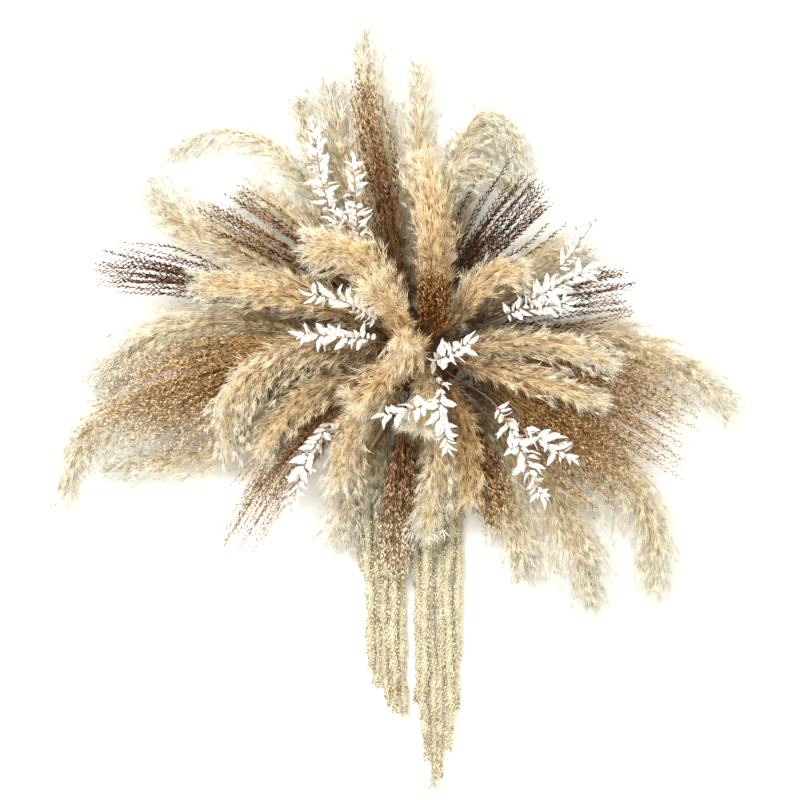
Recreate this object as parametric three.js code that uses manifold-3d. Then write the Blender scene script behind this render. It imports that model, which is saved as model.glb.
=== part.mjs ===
// A spray of dried grasses lying on its back: pampas plumes, fountain-grass sprays, bleached ruscus
// sprigs and trailing amaranth, all pushed into a small dome of dry floral foam.
// Millimetres, +Z up. The origin is the centre of the dome's flat back, +Y is the top of the spray.
import * as THREE from "three";
import { mergeVertices } from "three/addons/utils/BufferGeometryUtils.js";
import Module from "manifold-3d";

const wasm = await Module();
wasm.setup();
const V = (x, y, z) => new THREE.Vector3(x, y, z);

// Driving dimensions. FLOOR and GAP are the least height over the ground and the least room between heads.
const FLOOR = 1.2;
const GAP = 1;
const FOAM = { radius: 58, skirt: 12, sides: 14, rings: 3 };
const STEM = { sides: 5, turn: 0, radius: 2, sunk: 24, collar: 5, holeGap: 0.4, room: 6 };
// Stems stand at least this far apart in the dome, as a chord of a unit ball, and this much above level.
const SEAT = { apart: 0.27, steps: 300, push: 0.02, lowest: 0.05 };
// A head's rings lie this far apart from this far out; core is the core's share of the width.
const PLUME = { ring: 26, from: 72, leastStem: 10, flat: 0.82, core: 0.44, leastCore: 0.25, solid: 0.6 };
// A head yields where a neighbour's line is nearer than its own by this much, each as a share of its room.
const MARGIN = 1.06;
// A head opens from a share of its width to all of it, and closes to a share of it at its tip.
const OUTLINE = { first: 0.5, openBy: 0.3, closeFrom: 0.45, last: 0.12 };
// A tuft reaches outwards by a share of the fluff's depth, and forwards by lean times that and a little more.
const TUFT = { least: 0.85, more: 0.4, lean: 1.35, forward: 12, start: 0.04, tested: 0.55, bend: 3 };
// A stretch is tested at this many steps, and a curve's nearest point is sought at this many places.
const SEARCH_STEPS = 14;
const PLACES = 80;
// A fan's core covers the first share of its length, in an oval of wide by high; its spikes fill an oval of
// the spread by depth, and the outer ones end short and low.
const GRASS = { rings: 8, core: 0.62, wide: 4.2, high: 3, slims: 0.55, depth: 10, narrows: 0.85 };
const SPIKE = { least: 0.8, more: 0.2, short: 0.14, droop: 0.05, room: 5.5, thick: 1.6, thin: 0.6 };
// width is half a blade's; fold, crown and keel are heights over its root; turn is its angle to the twig.
const LEAF = { length: 29, width: 7.2, fold: 2.4, crown: 0.6, keel: 1, turn: 0.86, rise: 0.2, every: 14 };
const BLADE = { seat: 5, widest: 0.4, second: 0.72, narrower: 0.74, shorter: 0.25 };
const BLADE_LANE = { rooms: [9, 5], depths: [5.4, 2] };
// A twig bends once before its leaves; a side twig is bare up to sideFrom and starts within a bare stretch.
const TWIG = { sides: 4, turn: 0.5, radius: 1.6, tip: 1, room: 5, point: 6 };
const FORK = { bendAt: 0.3, sideFrom: 0.25, startAt: 0.45 };
// Strands lie in two layers, low and high, and swell to thick and shrink to thin every ring.
const TASSEL = { sides: 4, thick: 6, thin: 4, ring: 30, apart: 13, low: 7.4, high: 17.5, room: 7.5 };
const TASSEL_WAIST = -300;
const TASSEL_OVER = 0.9;

// Plumes: name, half width of the head, then the points on the axis from beside the foam out to the tip.
const PLUMES = [
  ["plume_back_01", 35, [[-25, 105, 40], [-55, 260, 38], [-70, 350, 32], [-75, 415, 24]]],
  ["plume_back_02", 39, [[-47, 110, 36], [-92, 235, 38], [-112, 300, 32], [-125, 343, 24]]],
  ["plume_back_03", 32, [[-75, 110, 38], [-130, 240, 36], [-150, 290, 30], [-162, 325, 22]]],
  ["plume_back_04", 34, [[-90, 95, 36], [-165, 240, 40], [-250, 288, 36], [-333, 255, 20]]],
  ["plume_back_05", 39, [[-88, 72, 40], [-150, 160, 46], [-195, 195, 40], [-230, 205, 28]]],
  ["plume_back_06", 48, [[-100, 48, 40], [-215, 125, 44], [-312, 165, 36], [-352, 212, 24]]],
  ["plume_back_07", 48, [[-108, 12, 40], [-234, 38, 44], [-350, 18, 36], [-418, -36, 22]]],
  ["plume_back_08", 40, [[-106, -22, 38], [-280, -62, 42], [-400, -78, 34], [-446, -124, 26], [-464, -190, 16]]],
  ["plume_back_09", 35, [[-95, -56, 38], [-220, -118, 38], [-325, -142, 30], [-402, -155, 20]]],
  ["plume_back_10", 39, [[-45, -95, 40], [-82, -160, 40], [-104, -250, 22]]],
  ["plume_back_11", 39, [[46, -94, 38], [98, -174, 38], [124, -236, 30], [139, -292, 20]]],
  ["plume_back_12", 45, [[76, -72, 40], [163, -165, 42], [206, -248, 34], [221, -328, 22]]],
  ["plume_back_13", 44, [[98, -42, 40], [224, -124, 42], [298, -206, 34], [303, -310, 20]]],
  ["plume_back_14", 47, [[106, 2, 40], [246, 14, 46], [338, -18, 38], [405, -75, 24]]],
  ["plume_back_15", 44, [[92, 54, 40], [142, 112, 52], [178, 136, 46], [206, 112, 30]]],
  ["plume_back_16", 38, [[52, 98, 36], [42, 240, 38], [84, 312, 36], [122, 286, 30], [131, 236, 22]]],
  ["plume_back_17", 35, [[8, 112, 36], [-2, 260, 38], [-1, 372, 24]]],
  ["plume_front_01", 29, [[24, 84, 78], [20, 190, 92], [60, 240, 88], [118, 214, 66]]],
  ["plume_front_02", 40, [[14, 60, 112], [20, 132, 142], [16, 192, 140], [4, 238, 122]]],
  ["plume_front_03", 36, [[-66, 38, 92], [-168, 74, 112], [-284, 86, 84]]],
  ["plume_front_04", 40, [[-62, 4, 104], [-152, 8, 138], [-228, -34, 122], [-252, -78, 98], [-252, -116, 80]]],
  ["plume_front_05", 34, [[-58, -28, 92], [-128, -48, 104], [-180, -84, 92], [-204, -126, 76]]],
  ["plume_front_06", 39, [[-38, -48, 106], [-74, -78, 122], [-96, -120, 110], [-106, -170, 80]]],
  ["plume_front_07", 34, [[16, -60, 92], [24, -120, 104], [18, -176, 88], [8, -230, 64]]],
  ["plume_front_08", 28, [[42, -56, 88], [60, -116, 98], [62, -192, 76]]],
  ["plume_front_09", 27, [[62, -18, 100], [142, -38, 112], [230, -66, 98]]],
  ["plume_front_10", 34, [[64, 4, 104], [152, 10, 120], [242, -14, 104]]],
  ["plume_front_11", 31, [[44, 38, 112], [72, 82, 140], [98, 104, 142], [128, 96, 124]]],
  ["plume_front_12", 45, [[-34, 44, 112], [-56, 100, 146], [-94, 132, 148], [-134, 124, 128]]],
  ["plume_crown_01", 34, [[-22, 24, 128], [-38, 58, 172], [-62, 80, 192]]],
  ["plume_crown_02", 34, [[-24, -18, 120], [-52, -40, 152], [-82, -66, 160]]],
  ["plume_crown_03", 32, [[4, -34, 120], [8, -66, 148], [0, -100, 150]]],
  ["plume_crown_04", 28, [[-6, 2, 130], [-14, 8, 180], [-26, 10, 222]]],
];

// Grass sprays: name, colour, half spread of the fan at its tips, where the fan opens and where it ends.
const GRASSES = [
  ["grass_01", 0x8a5430, 26, [-34, 140, 84], [-66, 350, 70]],
  ["grass_02", 0x4a1f17, 56, [52, 108, 92], [152, 214, 92]],
  ["grass_03", 0x6b3421, 36, [-122, 108, 92], [-276, 192, 88]],
  ["grass_04", 0x5f3020, 30, [-262, 92, 66], [-408, 110, 80]],
  ["grass_05", 0xa87b45, 38, [-180, 4, 92], [-412, -62, 78]],
  ["grass_06", 0xa87b45, 38, [-188, -30, 78], [-364, -106, 58]],
  ["grass_07", 0x6b3421, 28, [-100, -62, 72], [-248, -214, 44]],
  ["grass_08", 0x6b3421, 24, [-22, -88, 72], [-38, -300, 40]],
  ["grass_09", 0x7a5236, 32, [152, 66, 84], [274, 80, 78]],
  ["grass_10", 0xa87b45, 34, [140, -26, 82], [336, -88, 76]],
  ["grass_11", 0xa87b45, 34, [116, -54, 80], [262, -140, 72]],
  ["grass_12", 0x7a4a2a, 18, [58, -92, 76], [102, -226, 62]],
  ["grass_13", 0x94602f, 24, [14, 12, 116], [18, 88, 196]],
];

// Ruscus sprigs: name, the main twig's points, then the side twig's points if it forks.
const RUSCUS = [
  [
    "ruscus_01",
    [[-74, 130, 108], [-82, 180, 128], [-86, 238, 130]],
    [[-78, 156, 118], [-102, 170, 126]],
  ],
  ["ruscus_02", [[-104, 150, 86], [-126, 214, 96], [-138, 288, 82]]],
  ["ruscus_03", [[-56, 36, 152], [-96, 60, 182], [-138, 70, 180]]],
  ["ruscus_04", [[-62, 12, 150], [-106, 16, 168], [-150, 20, 164]]],
  ["ruscus_05", [[16, -14, 130], [36, -8, 168], [62, 8, 188]]],
  ["ruscus_06", [[-114, -94, 84], [-146, -142, 84], [-168, -200, 74]]],
  [
    "ruscus_07",
    [[28, -40, 140], [24, -84, 170], [36, -122, 160]],
    [[26, -60, 160], [-12, -78, 186], [-44, -84, 186]],
  ],
  [
    "ruscus_08",
    [[98, -72, 104], [130, -130, 112], [156, -190, 100]],
    [[112, -90, 108], [150, -112, 114], [190, -138, 106]],
  ],
  [
    "ruscus_09",
    [[112, 44, 104], [168, 78, 112], [222, 104, 106]],
    [[124, 46, 106], [154, 54, 112], [188, 60, 110]],
  ],
  ["ruscus_10", [[180, 106, 96], [206, 138, 92], [226, 168, 84]]],
];

// Amaranth bunches: name, where the stem comes out and where it droops, the lowest y of the strand that it
// runs on as, then the x and the lowest y of every other strand's tip.
const AMARANTH = [
  [
    "amaranth_left",
    [[-44, -96, 12], [-44, -150, 9]],
    -464,
    [[-77, -290], [-66, -418], [-57, -440], [-33, -474], [-23, -478]],
  ],
  [
    "amaranth_right",
    [[17, -100, 12], [17, -150, 9]],
    -572,
    [[-2, -462], [7, -536], [28, -560], [38, -524], [49, -470]],
  ],
];

// A small seeded generator, so every build draws the same numbers.
function draws(seed) {
  let state = seed;
  return () => {
    state = (state + 0x6d2b79f5) | 0;
    let mixed = Math.imul(state ^ (state >>> 15), 1 | state);
    mixed = (mixed + Math.imul(mixed ^ (mixed >>> 7), 61 | mixed)) ^ mixed;
    return ((mixed ^ (mixed >>> 14)) >>> 0) / 4294967296;
  };
}

const smooth = (t) => THREE.MathUtils.smoothstep(t, 0, 1);
const centre = V(0, 0, FOAM.skirt);

// Where each stem enters the dome: as near as can be to the way it heads, but spaced from its neighbours.
function seats(firstPoints) {
  const ways = firstPoints.map((p) => V(...p).sub(centre).normalize());
  for (let step = 0; step < SEAT.steps; step++) {
    for (let i = 0; i < ways.length; i++) {
      for (let j = 0; j < i; j++) {
        if (ways[i].distanceTo(ways[j]) > SEAT.apart) continue;
        const apart = ways[i].clone().sub(ways[j]).setLength(SEAT.push);
        ways[i].add(apart).normalize();
        ways[j].sub(apart).normalize();
      }
    }
    for (const way of ways) {
      way.z = Math.max(way.z, SEAT.lowest);
      way.normalize();
    }
  }
  return ways;
}

// A stem's line: straight out of its hole, then a smooth curve through its points.
function route(way, points) {
  const foot = way.clone().multiplyScalar(FOAM.radius - STEM.sunk).add(centre);
  const collar = way.clone().multiplyScalar(FOAM.radius + STEM.collar).add(centre);
  const curve = new THREE.CatmullRomCurve3([collar, ...points.map((p) => V(...p))], false, "centripetal");
  return { way, foot, collar, curve, length: curve.getLength() };
}

// Frames carried back from the end of a line without twisting: side is level there, and up is square to it.
function framesAlong(points, forwards = headings(points)) {
  const end = forwards.at(-1);
  let side = (Math.abs(end.z) > 0.95 ? V(0, 1, 0) : V(0, 0, 1)).cross(end);
  const frames = [];
  for (let i = points.length - 1; i >= 0; i--) {
    side = side.clone().addScaledVector(forwards[i], -side.dot(forwards[i])).normalize();
    frames[i] = { at: points[i], forward: forwards[i], side, up: forwards[i].clone().cross(side) };
  }
  return frames;
}

function headings(points) {
  return points.map((p, i) => {
    const before = points[Math.max(i - 1, 0)];
    const after = points[Math.min(i + 1, points.length - 1)];
    return after.clone().sub(before).normalize();
  });
}

// Frames from the foot of a stem in its hole to the end of the given points.
function stemFrames(line, points, forwards) {
  const whole = [line.foot, line.collar, ...points];
  return framesAlong(whole, [line.way, line.way, ...(forwards ?? headings(whole).slice(2))]);
}

function ringOf(frame, sides, wide, high = wide, turn = 0) {
  return Array.from({ length: sides }, (_, k) => {
    const angle = (2 * Math.PI * (k + turn)) / sides;
    return frame.at
      .clone()
      .addScaledVector(frame.side, wide * Math.cos(angle))
      .addScaledVector(frame.up, high * Math.sin(angle));
  });
}

// One closed skin over a row of rings that ends in a point. Over a face where raise gives an end, the skin is
// drawn out to it, through any loops of four corners given with it.
function skin(rings, tip, raise = () => null) {
  const triangles = [];
  const face = (a, b, c) => triangles.push(a, b, c);
  const band = (from, to) =>
    from.forEach((a, n) => {
      const m = (n + 1) % from.length;
      face(a, from[m], to[m]);
      face(a, to[m], to[n]);
    });
  const close = (loop, end) => loop.forEach((a, n) => face(a, loop[(n + 1) % loop.length], end));
  rings[0].slice(1, -1).forEach((b, n) => face(rings[0][0], rings[0][n + 2], b));
  for (let i = 0; i < rings.length - 1; i++) {
    rings[i].forEach((a, k) => {
      const next = (k + 1) % rings[i].length;
      const corners = [a, rings[i][next], rings[i + 1][next], rings[i + 1][k]];
      const drawn = raise(i, k, corners);
      if (!drawn) {
        face(corners[0], corners[1], corners[2]);
        face(corners[0], corners[2], corners[3]);
        return;
      }
      const loops = [corners, ...(drawn.loops ?? [])];
      loops.slice(1).forEach((loop, n) => band(loops[n], loop));
      close(loops.at(-1), drawn.end);
    });
  }
  close(rings.at(-1), tip);
  return mergeVertices(new THREE.BufferGeometry().setFromPoints(triangles), 1e-3);
}

function solidOf(geometry) {
  return new wasm.Manifold(
    new wasm.Mesh({
      numProp: 3,
      vertProperties: geometry.attributes.position.array,
      triVerts: new Uint32Array(geometry.index.array),
    }),
  );
}

// The outer skin of parts joined into one; hollows sealed in where they cross are filled.
function joined(geometries) {
  const pieces = wasm.Manifold.union(geometries.map(solidOf)).decompose();
  return geometryOf(pieces.sort((a, b) => b.volume() - a.volume())[0]);
}

function geometryOf(solid) {
  const { vertProperties, triVerts } = solid.getMesh();
  return new THREE.BufferGeometry()
    .setAttribute("position", new THREE.BufferAttribute(vertProperties, 3))
    .setIndex(new THREE.BufferAttribute(triVerts, 1));
}

// Lanes: the lines that solids grow along, with the room that each point claims and its bare thickness there.
function lane(owner, points, room, thick) {
  const box = new THREE.Box3().setFromPoints(points).expandByScalar(Math.max(...room));
  return { owner, points, room, thick, box };
}

function evenLane(owner, points, room, thick) {
  return lane(owner, points, points.map(() => room), points.map(() => thick));
}

// How near a point lies to a lane: as a share of its room, and as a gap to its bare thickness.
function nearness({ points, room, thick }, p) {
  let [share, gap] = [Infinity, Infinity];
  for (let i = 0; i < points.length - 1; i++) {
    const a = points[i];
    const b = points[i + 1];
    const [dx, dy, dz] = [b.x - a.x, b.y - a.y, b.z - a.z];
    const along = (p.x - a.x) * dx + (p.y - a.y) * dy + (p.z - a.z) * dz;
    const t = Math.min(1, Math.max(0, along / (dx * dx + dy * dy + dz * dz)));
    const away = Math.hypot(p.x - a.x - t * dx, p.y - a.y - t * dy, p.z - a.z - t * dz);
    share = Math.min(share, away / (room[i] * (1 - t) + room[i + 1] * t));
    gap = Math.min(gap, away - thick[i] * (1 - t) - thick[i + 1] * t);
  }
  return { share, gap };
}

// Whether a point of one head keeps to its own side of every neighbour, of the foam and of the ground.
function keepsClear(own, others, p) {
  if (p.z < FLOOR || p.distanceTo(centre) < FOAM.radius + GAP) return false;
  const mine = nearness(own, p).share * MARGIN;
  return others.every((other) => {
    const { share, gap } = nearness(other, p);
    return share > mine && gap > GAP;
  });
}

// The furthest point on the way from one place to another for which the test still holds.
function stretch(from, to, test) {
  let best = from;
  for (let i = 1; i <= SEARCH_STEPS; i++) {
    const tried = from.clone().lerp(to, i / SEARCH_STEPS);
    if (!test(tried)) break;
    best = tried;
  }
  return best;
}

// The outline of a plume's head from where the fluff starts to its tip.
function headWidth(half, u) {
  const opening = OUTLINE.first + (1 - OUTLINE.first) * smooth(u / OUTLINE.openBy);
  const past = Math.max(0, u - OUTLINE.closeFrom) / (1 - OUTLINE.closeFrom);
  return half * opening * (OUTLINE.last + (1 - OUTLINE.last) * Math.sqrt(1 - past * past));
}

function planPlume([name, half, points], way) {
  const line = route(way, points);
  const bare = Math.max(PLUME.leastStem, PLUME.from - FOAM.radius - STEM.collar) / line.length;
  const count = Math.max(5, Math.round(((1 - bare) * line.length) / PLUME.ring));
  const stations = Array.from({ length: count + 1 }, (_, i) => i / count);
  const axis = stations.map((u) => line.curve.getPointAt(bare + u * (1 - bare)));
  const ahead = stations.map((u) => line.curve.getTangentAt(bare + u * (1 - bare)));
  const widths = stations.map((u) => headWidth(half, u));
  const cores = widths.map((w) => PLUME.core * w);
  const frames = stemFrames(line, axis, ahead);
  const own = lane(name, axis, widths, cores.map((c) => PLUME.solid * c));
  const stem = evenLane(name, [line.foot, line.collar, axis[0]], STEM.room, STEM.radius);
  return { name, line, frames, axis, ahead, widths, cores, own, lanes: [own, stem], ...STEM };
}

// A pampas plume: a stem that swells into a slim core, with a tuft raised over every face of the core.
function growPlume({ frames, axis, ahead, widths, cores, own }, neighbours) {
  const random = draws(Math.round(1000 + axis[1].x * 7 + axis[1].y * 13));
  const clear = (p) => keepsClear(own, neighbours, p);
  const rings = frames.map((frame, i) => {
    if (i < 2) return ringOf(frame, STEM.sides, STEM.radius);
    const core = cores[i - 2];
    const wanted = ringOf(frame, STEM.sides, core, core * PLUME.flat, (i % 2) / 2);
    return wanted.map((p) => stretch(frame.at.clone().lerp(p, PLUME.leastCore), p, clear));
  });
  const raise = (i, k, corners) => {
    if (i < 2) return null;
    const foot = middleOf(corners);
    const out = foot.clone().sub(axis[i - 2].clone().lerp(axis[i - 1], 0.5)).normalize();
    const reach = (widths[i - 2] - cores[i - 2]) * (TUFT.least + TUFT.more * random());
    const forward = reach * TUFT.lean + TUFT.forward;
    const bend = ahead[i - 1].clone().sub(ahead[i - 2]).dot(out) / PLUME.ring;
    const lean = out.multiplyScalar(reach).addScaledVector(ahead[i - 1], forward);
    lean.divideScalar(1 + TUFT.bend * forward * Math.max(0, bend));
    const whole = (p) => clear(p) && corners.every((c) => clear(c.clone().lerp(p, TUFT.tested)));
    return { end: stretch(foot.clone().addScaledVector(lean, TUFT.start), foot.clone().add(lean), whole) };
  };
  return skin(rings.slice(0, -1), axis.at(-1), raise);
}

function middleOf(points) {
  return points.reduce((sum, p) => sum.add(p), V(0, 0, 0)).divideScalar(points.length);
}

// The share of a curve's length at which it passes nearest to a point.
function nearestShare(line, p) {
  const shares = Array.from({ length: PLACES }, (_, i) => (i + 1) / PLACES);
  const away = (u) => line.curve.getPointAt(u).distanceTo(p);
  return shares.reduce((best, u) => (away(u) < away(best) ? u : best));
}

// A grass spray: a slim core that starts where the fan opens, and one long spike to the fan's edge from each
// face of it. Spikes from further on stand nearer to the middle.
function planGrass([name, , spread, opening, middle], way) {
  const [base, tip] = [V(...opening), V(...middle)];
  const line = route(way, [opening]);
  const heading = tip.clone().sub(base).normalize();
  const shares = Array.from({ length: GRASS.rings }, (_, i) => (GRASS.core * i) / (GRASS.rings - 1));
  const axis = [line.curve.getPointAt(0.5), ...shares.map((u) => base.clone().lerp(tip, u))];
  const frames = stemFrames(line, axis, [line.curve.getTangentAt(0.5), ...shares.map(() => heading)]);
  const bare = frames.length - GRASS.rings;
  const rings = frames.map((frame, i) => {
    if (i < bare) return ringOf(frame, STEM.sides, STEM.radius);
    const slim = 1 - (GRASS.slims * (i - bare)) / GRASS.rings;
    return ringOf(frame, STEM.sides, GRASS.wide * slim, GRASS.high * slim, (i % 2) / 2);
  });
  const spikes = fanOfSpikes({ frames, rings, bare, base, tip, heading, spread });
  const room = [SPIKE.room, SPIKE.room];
  const thin = ({ foot, end }) => lane(name, [foot, end], room, [SPIKE.thick, SPIKE.thin]);
  const stem = evenLane(name, [line.foot, line.collar, ...axis], STEM.room, GRASS.high);
  return { name, line, frames, rings, tip, spikes, lanes: [stem, ...spikes.flat().map(thin)], ...STEM };
}

function fanOfSpikes({ frames, rings, bare, base, tip, heading, spread }) {
  const random = draws(Math.round(5000 + base.x * 3 + base.y * 11));
  const fanLength = tip.distanceTo(base);
  const { side, up } = frames.at(-1);
  const spike = (i, k) => {
    const next = (k + 1) % STEM.sides;
    const foot = middleOf([rings[i][k], rings[i][next], rings[i + 1][next], rings[i + 1][k]]);
    const out = foot.clone().sub(frames[i].at.clone().lerp(frames[i + 1].at, 0.5)).normalize();
    const wider = 1 - (GRASS.narrows * (i - bare)) / GRASS.rings;
    const [s, v] = [out.dot(side) * wider, out.dot(up) * wider];
    const end = tip.clone().addScaledVector(side, spread * s).addScaledVector(up, GRASS.depth * v);
    end.addScaledVector(heading, -fanLength * SPIKE.short * s * s);
    end.z -= fanLength * SPIKE.droop * s * s;
    return { foot, end: foot.clone().lerp(end, SPIKE.least + SPIKE.more * random()) };
  };
  return rings.slice(0, -1).map((ring, i) => (i < bare ? [] : ring.map((_, k) => spike(i, k))));
}

function growGrass({ rings, tip, spikes }) {
  return skin(rings, tip, (i, k) => spikes[i]?.[k]);
}

function planRuscus([name, main, fork], way) {
  const line = route(way, main);
  const twig = leafyTwig(line.curve, nearestShare(line, V(...main[0])));
  const frames = stemFrames(line, [line.curve.getPointAt(FORK.bendAt * twig.shares[0]), ...twig.points]);
  const twigs = [{ frames, hands: [0, 0, 0, ...twig.hands] }];
  if (fork) {
    const start = closestOf(twig.bare, V(...fork[0]));
    const course = new THREE.CatmullRomCurve3([start, ...fork.slice(1).map((p) => V(...p))]);
    const side = leafyTwig(course, FORK.sideFrom);
    twigs.push({ frames: framesAlong([start, ...side.points]), hands: [0, ...side.hands] });
  }
  const shapes = twigs.map(leafShapes);
  const twigLanes = twigs.map((t) => evenLane(name, t.frames.map((f) => f.at), TWIG.room, TWIG.radius));
  const leaves = shapes.flatMap((shape) => [...shape.leaves.values()]);
  const { rooms, depths } = BLADE_LANE;
  const leafLanes = leaves.map(({ root, end }) => lane(name, [root, end], rooms, depths));
  return { name, line, frames, shapes, lanes: [...twigLanes, ...leafLanes], ...TWIG };
}

function closestOf(points, p) {
  return points.reduce((best, q) => (q.distanceTo(p) < best.distanceTo(p) ? q : best));
}

// The bends of a twig, two for each leaf, with 1 or -1 where the stretch to the next bend bears a leaf on
// that side and 0 where it is bare.
function leafyTwig(curve, from) {
  const length = curve.getLength();
  const seat = BLADE.seat / length;
  const count = Math.max(3, Math.round(((1 - from) * length) / LEAF.every));
  const step = (1 - from) / count;
  const shares = Array.from({ length: count }, (_, k) => [from + k * step, from + k * step + seat]).flat();
  const hands = shares.map((_, n) => (n % 2 ? 0 : 1 - (n % 4)));
  const bare = shares.filter((_, n) => n % 2).map((u) => curve.getPointAt(u + FORK.startAt * (step - seat)));
  return { shares, hands, bare, points: [...shares, 1].map((u) => curve.getPointAt(u)) };
}

function leafShapes({ frames, hands }) {
  const last = frames.length - 1;
  const rings = frames.map((frame, i) => {
    const radius = THREE.MathUtils.lerp(TWIG.radius, TWIG.tip, Math.max(0, i - 1) / last);
    return ringOf(frame, TWIG.sides, radius, radius, TWIG.turn);
  });
  const leaves = new Map();
  hands.forEach((hand, at) => {
    if (hand) leaves.set(TWIG.sides * at + (hand > 0 ? 3 : 1), leafShape(frames, hand, at, at / last));
  });
  return { rings, leaves, end: frames[last].at.clone().addScaledVector(frames[last].forward, TWIG.point) };
}

// A leaf is drawn out of a side face of the twig, through two loops across its folded blade, to its point.
function leafShape(frames, hand, at, u) {
  const { side, up, forward } = frames[at];
  const along = forward.clone().multiplyScalar(Math.cos(LEAF.turn));
  along.addScaledVector(side, hand * Math.sin(LEAF.turn)).addScaledVector(up, LEAF.rise).normalize();
  const ahead = forward.clone().addScaledVector(along, -forward.dot(along)).normalize();
  const top = ahead.clone().cross(along).multiplyScalar(hand);
  const size = 1 - BLADE.shorter * Math.abs(2 * u - 1);
  const root = frames[at].at.clone().lerp(frames[at + 1].at, 0.5);
  const place = (x, y, z) =>
    root.clone().addScaledVector(along, x * size).addScaledVector(ahead, y * size).addScaledVector(top, z);
  const loop = (share, half) => {
    const x = share * LEAF.length;
    const [rear, front] = [place(x, -half, LEAF.fold), place(x, half, LEAF.fold)];
    const [crown, keel] = [place(x, 0, LEAF.crown), place(x, 0, -LEAF.keel)];
    return hand > 0 ? [rear, crown, front, keel] : [rear, keel, front, crown];
  };
  const loops = [loop(BLADE.widest, LEAF.width), loop(BLADE.second, LEAF.width * BLADE.narrower)];
  return { root, loops, end: place(LEAF.length, 0, LEAF.crown) };
}

function growRuscus({ shapes }) {
  const drawn = ({ rings, leaves, end }) => skin(rings, end, (i, k) => leaves.get(TWIG.sides * i + k));
  const twigs = shapes.map(drawn);
  return twigs.length > 1 ? joined(twigs) : twigs[0];
}

function planAmaranth([name, outward, lowest, tips], way) {
  const line = route(way, outward);
  const [parting, droop] = outward.map((p) => V(...p));
  const spaced = (curve) => curve.getSpacedPoints(Math.round(curve.getLength() / TASSEL.ring));
  const waist = V(droop.x - 3, TASSEL_WAIST, TASSEL.low);
  const hung = spaced(new THREE.CatmullRomCurve3([droop, waist, V(droop.x + 2, lowest, TASSEL.low)]));
  const nodes = tips.map((_, k) => parting.clone().lerp(droop, k / tips.length));
  const strands = tips.map(([x, y], k) => {
    const start = nodes[k];
    const height = k % 2 ? TASSEL.high : TASSEL.low;
    const over = start.clone().lerp(V(x, start.y - TASSEL.apart, height), TASSEL_OVER);
    const along = [start, over, V(x - 1, (start.y + y) / 2, height), V(x, y, height)];
    return spaced(new THREE.CatmullRomCurve3(along, false, "centripetal"));
  });
  const frames = stemFrames(line, [...nodes, ...hung]);
  const stem = evenLane(name, [line.foot, line.collar, ...nodes, droop], TASSEL.room, STEM.radius);
  const hanging = [hung, ...strands].map((row) => evenLane(name, row, TASSEL.room, TASSEL.thick));
  return { name, line, frames, bare: nodes.length + 2, strands, lanes: [stem, ...hanging], ...STEM };
}

// Amaranth: strands that swell and shrink from ring to ring, leaving one stem that ends as a strand itself.
function growAmaranth({ frames, bare, strands }) {
  const beaded = (row, first, sides) => {
    const rings = row.slice(0, -1).map((frame, i) => {
      if (i < first) return ringOf(frame, sides, STEM.radius);
      const radius = (i - first) % 2 ? TASSEL.thin : TASSEL.thick;
      return ringOf(frame, sides, radius, radius, (i - first) / 2);
    });
    return skin(rings, row.at(-1).at);
  };
  const hanging = strands.map((points) => beaded(framesAlong(points), 1, TASSEL.sides));
  return joined([beaded(frames, bare, STEM.sides), ...hanging]);
}

// The foam dome, turned from its outline, with a plain hole for every stem.
function foamDome(plans) {
  const arc = Array.from({ length: FOAM.rings + 1 }, (_, i) => {
    const angle = (Math.PI / 2) * (i / FOAM.rings);
    return new THREE.Vector2(FOAM.radius * Math.cos(angle), FOAM.skirt + FOAM.radius * Math.sin(angle));
  });
  arc[FOAM.rings].x = 0;
  const outline = [new THREE.Vector2(0, 0), new THREE.Vector2(FOAM.radius, 0), ...arc];
  const turned = new THREE.LatheGeometry(outline, FOAM.sides).rotateX(Math.PI / 2);
  turned.deleteAttribute("normal");
  turned.deleteAttribute("uv");
  const dome = solidOf(mergeVertices(turned, 1e-3));
  const holes = plans.map(({ line, frames, sides, radius, turn }) => {
    const wide = radius + STEM.holeGap / Math.cos(Math.PI / sides);
    const reached = (distance) => line.foot.clone().addScaledVector(line.way, distance);
    const mouth = STEM.sunk + 2 * STEM.collar;
    const ends = [-STEM.holeGap, mouth].map((distance) => ({ ...frames[0], at: reached(distance) }));
    const rings = ends.map((frame) => ringOf(frame, sides, wide, wide, turn));
    return solidOf(skin(rings, reached(mouth + 1)));
  });
  return geometryOf(dome.subtract(wasm.Manifold.union(holes)));
}

const FINISH = {
  plume: { color: 0xe2c796, roughness: 0.95 },
  ruscus: { color: 0xf2efe6, roughness: 0.6 },
  amaranth: { color: 0xe9dfbd, roughness: 0.95 },
  foam: { color: 0x8f8468, roughness: 1 },
};

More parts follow.
